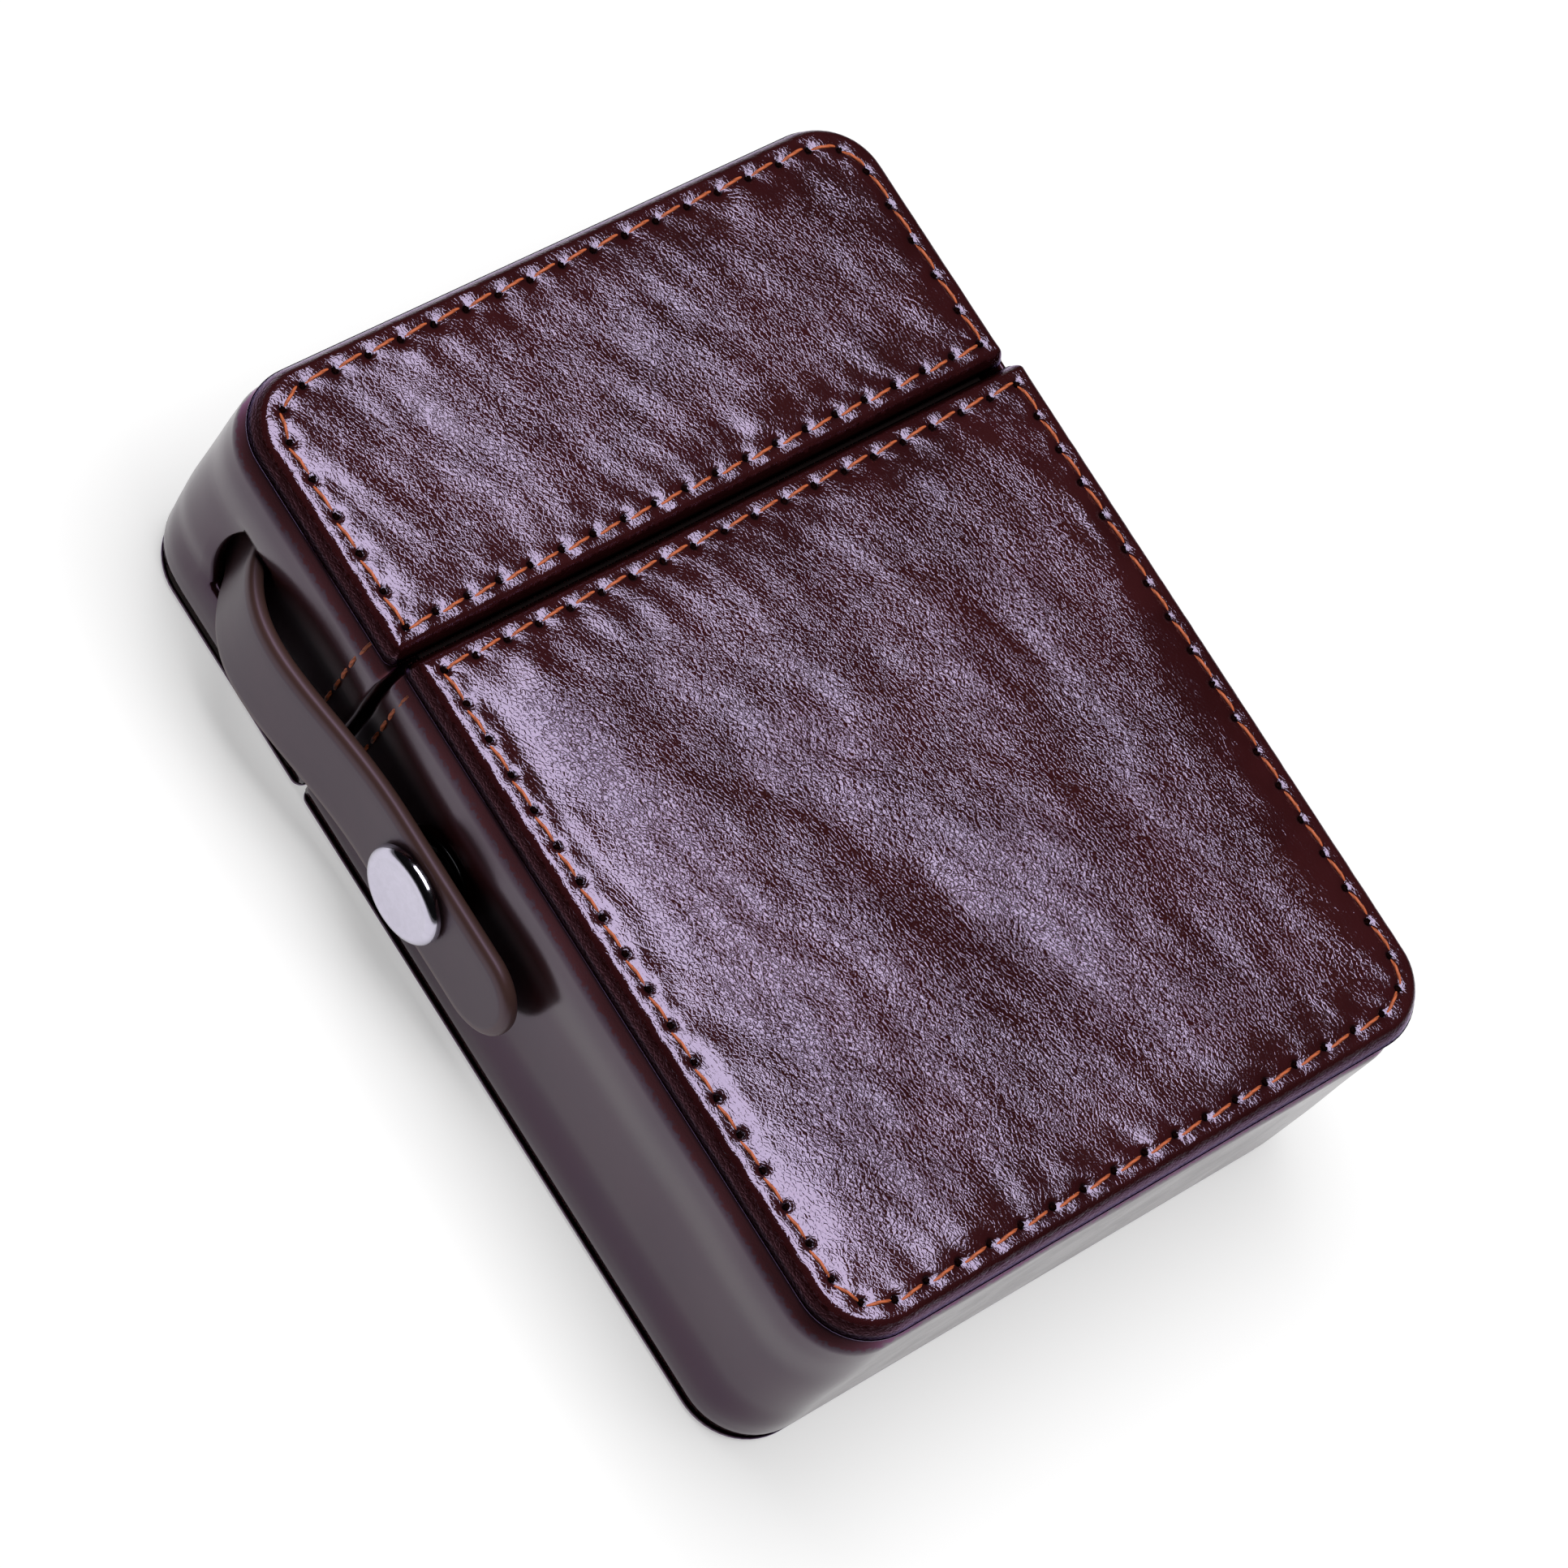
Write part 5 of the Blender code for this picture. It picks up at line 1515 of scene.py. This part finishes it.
class CASE_OT_strap(Operator):
    """Make the strap as one piece, from its glued end inside the lid to its round tip"""

    bl_idname = "case.strap"
    bl_label = "Strap"

    def execute(self, context):
        sizes, colours = context.scene.case_wall_sizes, context.scene.case_colours
        low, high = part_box("snap_strap")
        half, middle_z = (high.z - low.z) / 2, (low.z + high.z) / 2
        root_radius, tip_flat, field_flat = 0.001, 0.0001, 0.0008
        close_to_wall, blend_points = 0.00001, 26
        line, walked = strap_line()
        at_wall = int(np.argmax(line[:, 0] <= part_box("lid_side_band")[0].x + close_to_wall))
        shape = PanelShape(
            "strap", low=(-half, 0.0), high=(half, walked[-1]),
            radius_low=root_radius, radius_high=half - tip_flat, outer=0.0, inward=1.0,
        )
        profile = strap_profile(sizes.strap_edge)
        place = strap_place(line, walked, middle_z, walked[at_wall])
        strap = make_plate(
            "snap_strap_leather", shape, depth=half - field_flat, steps=(4, 120, 24),
            profile=profile, place=place, attribute="inset",
        )
        sharpen(strap, SHARP_LEATHER)
        strap.data.materials.append(material_once("Painted strap", strap_leather, colours=colours))
        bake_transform(strap)
        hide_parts("snap_strap", "strap_anchor")
        return {"FINISHED"}


def arc_profile(radius, height, edge, start, end, steps):
    """Profile points on an arc, given by its centre, its radius and its two angles."""
    angles = np.linspace(start, end, steps)
    return [(radius + edge * math.cos(a), height + edge * math.sin(a)) for a in angles]


def cap_profile(radius, top, post_end, edge):
    """The snap's cap: a nearly flat top, a rounded edge, and a post through the strap."""
    post, chamfer, rim, depth, doming = 0.0009, 0.00012, 0.0006, 0.0013, 0.00003
    base = top - depth
    return [
        (0.0, top), *((radius * share, top - doming * share ** 4) for share in (0.3, 0.6, 0.8)),
        *arc_profile(radius - edge, top - edge, edge, math.pi / 2, 0.0, 12),
        (radius, base + chamfer), (radius - chamfer, base), (radius - rim, base),
        (post, base), (post, post_end), (0.0, post_end),
    ]


def stud_profile(radius, top, base):
    """The snap's stud: a waisted knob on a flange that has a raised, rounded rim."""
    flange, raised, rim = base + 0.0003, 0.00016, 0.0002
    knob, waist = 0.0023, 0.0019
    return [
        (0.0, top), (0.0012, top), (waist, top - 0.0001), (knob, top - 0.00045),
        (knob - rim, top - 0.0008), (waist, top - 0.0010), (waist, flange + 0.0002),
        (waist + rim, flange), (radius - 0.0014, flange),
        (radius - 0.0010, flange + raised), (radius - 0.0004, flange + raised),
        *arc_profile(radius - rim, base + rim, rim, math.pi / 2, -math.pi / 2, 8), (0.0, base),
    ]


class CASE_OT_snap(Operator):
    """Make the snap's cap and stud, turned round one axis, and give the socket and the rivet a black finish
    """

    bl_idname = "case.snap"
    bl_label = "Snap"

    def execute(self, context):
        sizes, colours = context.scene.case_wall_sizes, context.scene.case_colours
        raised = 0.0003
        chrome = material_once(
            "Bright plate", metal_finish,
            colour=colours.chrome, rough_range=(0.09, 0.14), distance=0.0000008,
        )
        black = material_once(
            "Black plate", metal_finish,
            colour=colours.black, rough_range=(0.16, 0.26), distance=0.000001,
        )
        low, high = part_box("snap_cap")
        centre = (0.0, (low.y + high.y) / 2, (low.z + high.z) / 2)
        profile = cap_profile((high.y - low.y) / 2, -low.x + raised, -high.x, sizes.cap_edge)
        cap = sharpen(revolve("snap_cap_dome", profile, centre, sizes.turn_steps), SHARP_METAL)
        finish(cap, chrome, "strap", "chrome", "snap_cap")
        low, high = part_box("snap_stud")
        profile = stud_profile((high.y - low.y) / 2, -low.x, -high.x)
        stud = sharpen(revolve("snap_stud_ring", profile, centre, sizes.turn_steps), SHARP_METAL)
        finish(stud, black, "case_body", "black_metal", "snap_stud")
        repaint(black, "snap_socket", "snap_stud_rivet")
        return {"FINISHED"}


class CASE_OT_hinge(Operator):
    """Make the leather hinge as one strip that steps from the body's face to the lid's past the fold, with
    its two rows of stitches
    """

    bl_idname = "case.hinge"
    bl_label = "Hinge"

    def execute(self, context):
        colours = context.scene.case_colours
        corner, field_inset, step_reach, bend_reach = 0.0012, 0.0018, (0.0012, 0.0050), 0.0026
        middle_z, margin = 0.017, 0.0021
        body_low, body_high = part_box("hinge_leather_body")
        lid_low, lid_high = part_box("hinge_leather_lid")
        fold = (body_high.y + lid_low.y) / 2
        lid_outer = lid_low.x + HINGE_THICK
        shape = PanelShape(
            "hinge", low=(body_low.z, body_low.y), high=(body_high.z, lid_high.y),
            radius_low=corner, radius_high=corner, outer=0.0, inward=1.0,
        )

        def outer_at(y):
            """The strip's outer face: a smooth step past the fold, from the body's to the lid's."""
            step = smooth_step(y, fold + step_reach[0], fold + step_reach[1])
            return body_high.x + (lid_outer - body_high.x) * step

        def place(across, along, height):
            """Across becomes z, along becomes y, and the height is added to the outer face."""
            return np.column_stack([outer_at(along) + height, along, across])

        profile = [
            (0.0014, 0.0), (0.0006, 0.0), (0.0003, -0.00006), (0.0001, -0.00018), (0.0, -0.00035),
            (0.0, 0.0003 - HINGE_THICK), (0.0001, 0.0001 - HINGE_THICK), (0.0004, -HINGE_THICK),
            (0.0014, -HINGE_THICK),
        ]
        strip = make_plate(
            "hinge_leather_strip", shape, depth=field_inset, steps=(24, 72, 8),
            profile=profile, place=place,
        )
        sharpen(strip, SHARP_LEATHER)
        strip.data.materials.append(material_once("Smooth leather", wall_leather, colours=colours))
        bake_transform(strip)
        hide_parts("hinge_leather_body", "hinge_leather_lid")
        thread = material_once("Waxed thread", thread_finish, colours=colours)
        levels = stitch_levels(body_low.z, body_high.z, margin)
        rows = (
            ("case_body", "hinge_stitches_body", body_low.y + margin),
            ("lid", "hinge_stitches_lid", lid_high.y - margin),
        )
        for body, name, y in rows:
            x = np.full(len(levels), outer_at(y))
            stitches = row_of_stitches(
                name, x, y, levels,
                slant=0.0, gap=0.0003, outward_x=1.0, radius=0.00019, sink=0.00045,
            )
            finish(stitches, thread, body, "hinge_leather")
        return {"FINISHED"}


class CASE_OT_linings(Operator):
    """Give the tray, the divider and the boards their flocked and lined finishes"""

    bl_idname = "case.linings"
    bl_label = "Linings"

    def execute(self, context):
        colours = context.scene.case_colours
        flock = material_once(
            "Flocked lining", lining_finish,
            colour=colours.lining, scale=5200.0, rough_range=(0.85, 0.97), distance=0.00006,
        )
        board = material_once(
            "Lined board", lining_finish,
            colour=colours.board, scale=2600.0, rough_range=(0.75, 0.92), distance=0.00004,
        )
        repaint(flock, "body_liner", "compartment_divider")
        repaint(board, "body_front_board", "body_back_board", "lid_front_board", "lid_back_board")
        return {"FINISHED"}


def floor_finish():
    """Pale matt floor that keeps shadows, and that turns dark in reflections away from the case."""
    material = bpy.data.materials.new("Pale floor")
    material.use_nodes = True
    tree = material.node_tree
    tree.nodes.clear()
    matt = new_node(tree, "ShaderNodeBsdfDiffuse", Color=(0.70, 0.70, 0.70, 1.0)).outputs[0]
    lift = new_node(tree, "ShaderNodeEmission", Color=(1.0, 1.0, 1.0, 1.0), Strength=0.45)
    both = tree.nodes.new("ShaderNodeAddShader")
    tree.links.new(matt, both.inputs[0])
    tree.links.new(lift.outputs[0], both.inputs[1])
    path = tree.nodes.new("ShaderNodeLightPath").outputs
    mirrored = math_node(tree, "MAXIMUM", path["Is Glossy Ray"], path["Is Transmission Ray"])
    seen = math_node(tree, "MAXIMUM", path["Is Camera Ray"], mirrored)
    lifted = mix_shaders(tree, seen, matt, both.outputs[0])
    place = tree.nodes.new("ShaderNodeTexCoord").outputs["Object"]
    away = new_node(tree, "ShaderNodeVectorMath", {"operation": "LENGTH"}, Vector=place)
    near_case, past_case, least_dark, most_dark = 0.075, 0.16, 0.02, 0.87
    far = ramp(tree, away.outputs["Value"], near_case, past_case, least_dark, most_dark)
    dark = new_node(tree, "ShaderNodeBsdfDiffuse", Color=(0.03, 0.03, 0.03, 1.0)).outputs[0]
    surface = mix_shaders(tree, math_node(tree, "MULTIPLY", far, mirrored), lifted, dark)
    new_node(tree, "ShaderNodeOutputMaterial", Surface=surface)
    return material


def softbox(name, centre, size, target, radiance):
    """A rectangular lamp that faces a target; its power gives the stated radiance."""
    lamp = bpy.data.lights.new(name, "AREA")
    lamp.shape = "RECTANGLE"
    lamp.size, lamp.size_y = size
    lamp.energy = radiance * math.pi * size[0] * size[1]
    item = bpy.data.objects.new(name, lamp)
    item.location = centre
    item.rotation_mode = "QUATERNION"
    item.rotation_quaternion = (Vector(target) - Vector(centre)).to_track_quat("-Z", "Y")
    bpy.context.scene.collection.objects.link(item)


class CASE_OT_stage(Operator):
    """Make the pale floor, the studio lamp and the photograph's camera"""

    bl_idname = "case.stage"
    bl_label = "Stage"

    def execute(self, context):
        scene = context.scene
        corners = [(x * FLOOR_HALF, y * FLOOR_HALF, 0.0) for x, y in ((-1, -1), (1, -1), (1, 1), (-1, 1))]
        mesh = bpy.data.meshes.new("floor")
        mesh.from_pydata(corners, [], [(0, 1, 2, 3)])
        floor = bpy.data.objects.new("floor", mesh)
        floor.data.materials.append(floor_finish())
        scene.collection.objects.link(floor)
        softbox("key_softbox", LAMP_PLACE, LAMP_SIZE, LAMP_AIM, LAMP_RADIANCE)
        world = bpy.data.worlds.new("studio")
        world.use_nodes = True
        world.node_tree.nodes["Background"].inputs["Strength"].default_value = WORLD_STRENGTH
        scene.world = world
        camera = bpy.data.cameras.new("camera")
        camera.lens = CAMERA_LENS
        camera.sensor_width = CAMERA_SENSOR
        camera.clip_start, camera.clip_end = 0.01, 20.0
        item = bpy.data.objects.new("camera", camera)
        axes = Matrix((CAMERA_RIGHT, CAMERA_UP, CAMERA_BACK)).transposed().to_4x4()
        item.matrix_world = Matrix.Translation(CAMERA_PLACE) @ axes
        scene.collection.objects.link(item)
        scene.camera = item
        scene.view_settings.view_transform = "Standard"
        return {"FINISHED"}


class CASE_PT_sidebar(Panel):
    """The case's pieces, one button each"""

    bl_idname = "CASE_PT_sidebar"
    bl_label = "Cigarette and Lighter Case"
    bl_space_type = "VIEW_3D"
    bl_region_type = "UI"
    bl_category = "Case"

    def draw(self, context):
        for operator in OPERATORS:
            self.layout.operator(operator.bl_idname)


OPERATORS = (
    CASE_OT_stage, CASE_OT_front_covers, CASE_OT_back_covers, CASE_OT_walls, CASE_OT_strap,
    CASE_OT_snap, CASE_OT_hinge, CASE_OT_linings,
)
CLASSES = (CasePanelSizes, CaseWallSizes, CaseColours, *OPERATORS, CASE_PT_sidebar)


def register():
    """Registers the classes and the scene's settings."""
    for item in CLASSES:
        bpy.utils.register_class(item)
    bpy.types.Scene.case_panel_sizes = PointerProperty(type=CasePanelSizes)
    bpy.types.Scene.case_wall_sizes = PointerProperty(type=CaseWallSizes)
    bpy.types.Scene.case_colours = PointerProperty(type=CaseColours)


def unregister():
    """Removes the scene's settings and the classes."""
    del bpy.types.Scene.case_colours
    del bpy.types.Scene.case_wall_sizes
    del bpy.types.Scene.case_panel_sizes
    for item in reversed(CLASSES):
        bpy.utils.unregister_class(item)


def main():
    """Registers the add-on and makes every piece."""
    register()
    bpy.ops.case.stage()
    bpy.ops.case.front_covers()
    bpy.ops.case.back_covers()
    bpy.ops.case.walls()
    bpy.ops.case.strap()
    bpy.ops.case.snap()
    bpy.ops.case.hinge()
    bpy.ops.case.linings()


if __name__ == "__main__":
    main()
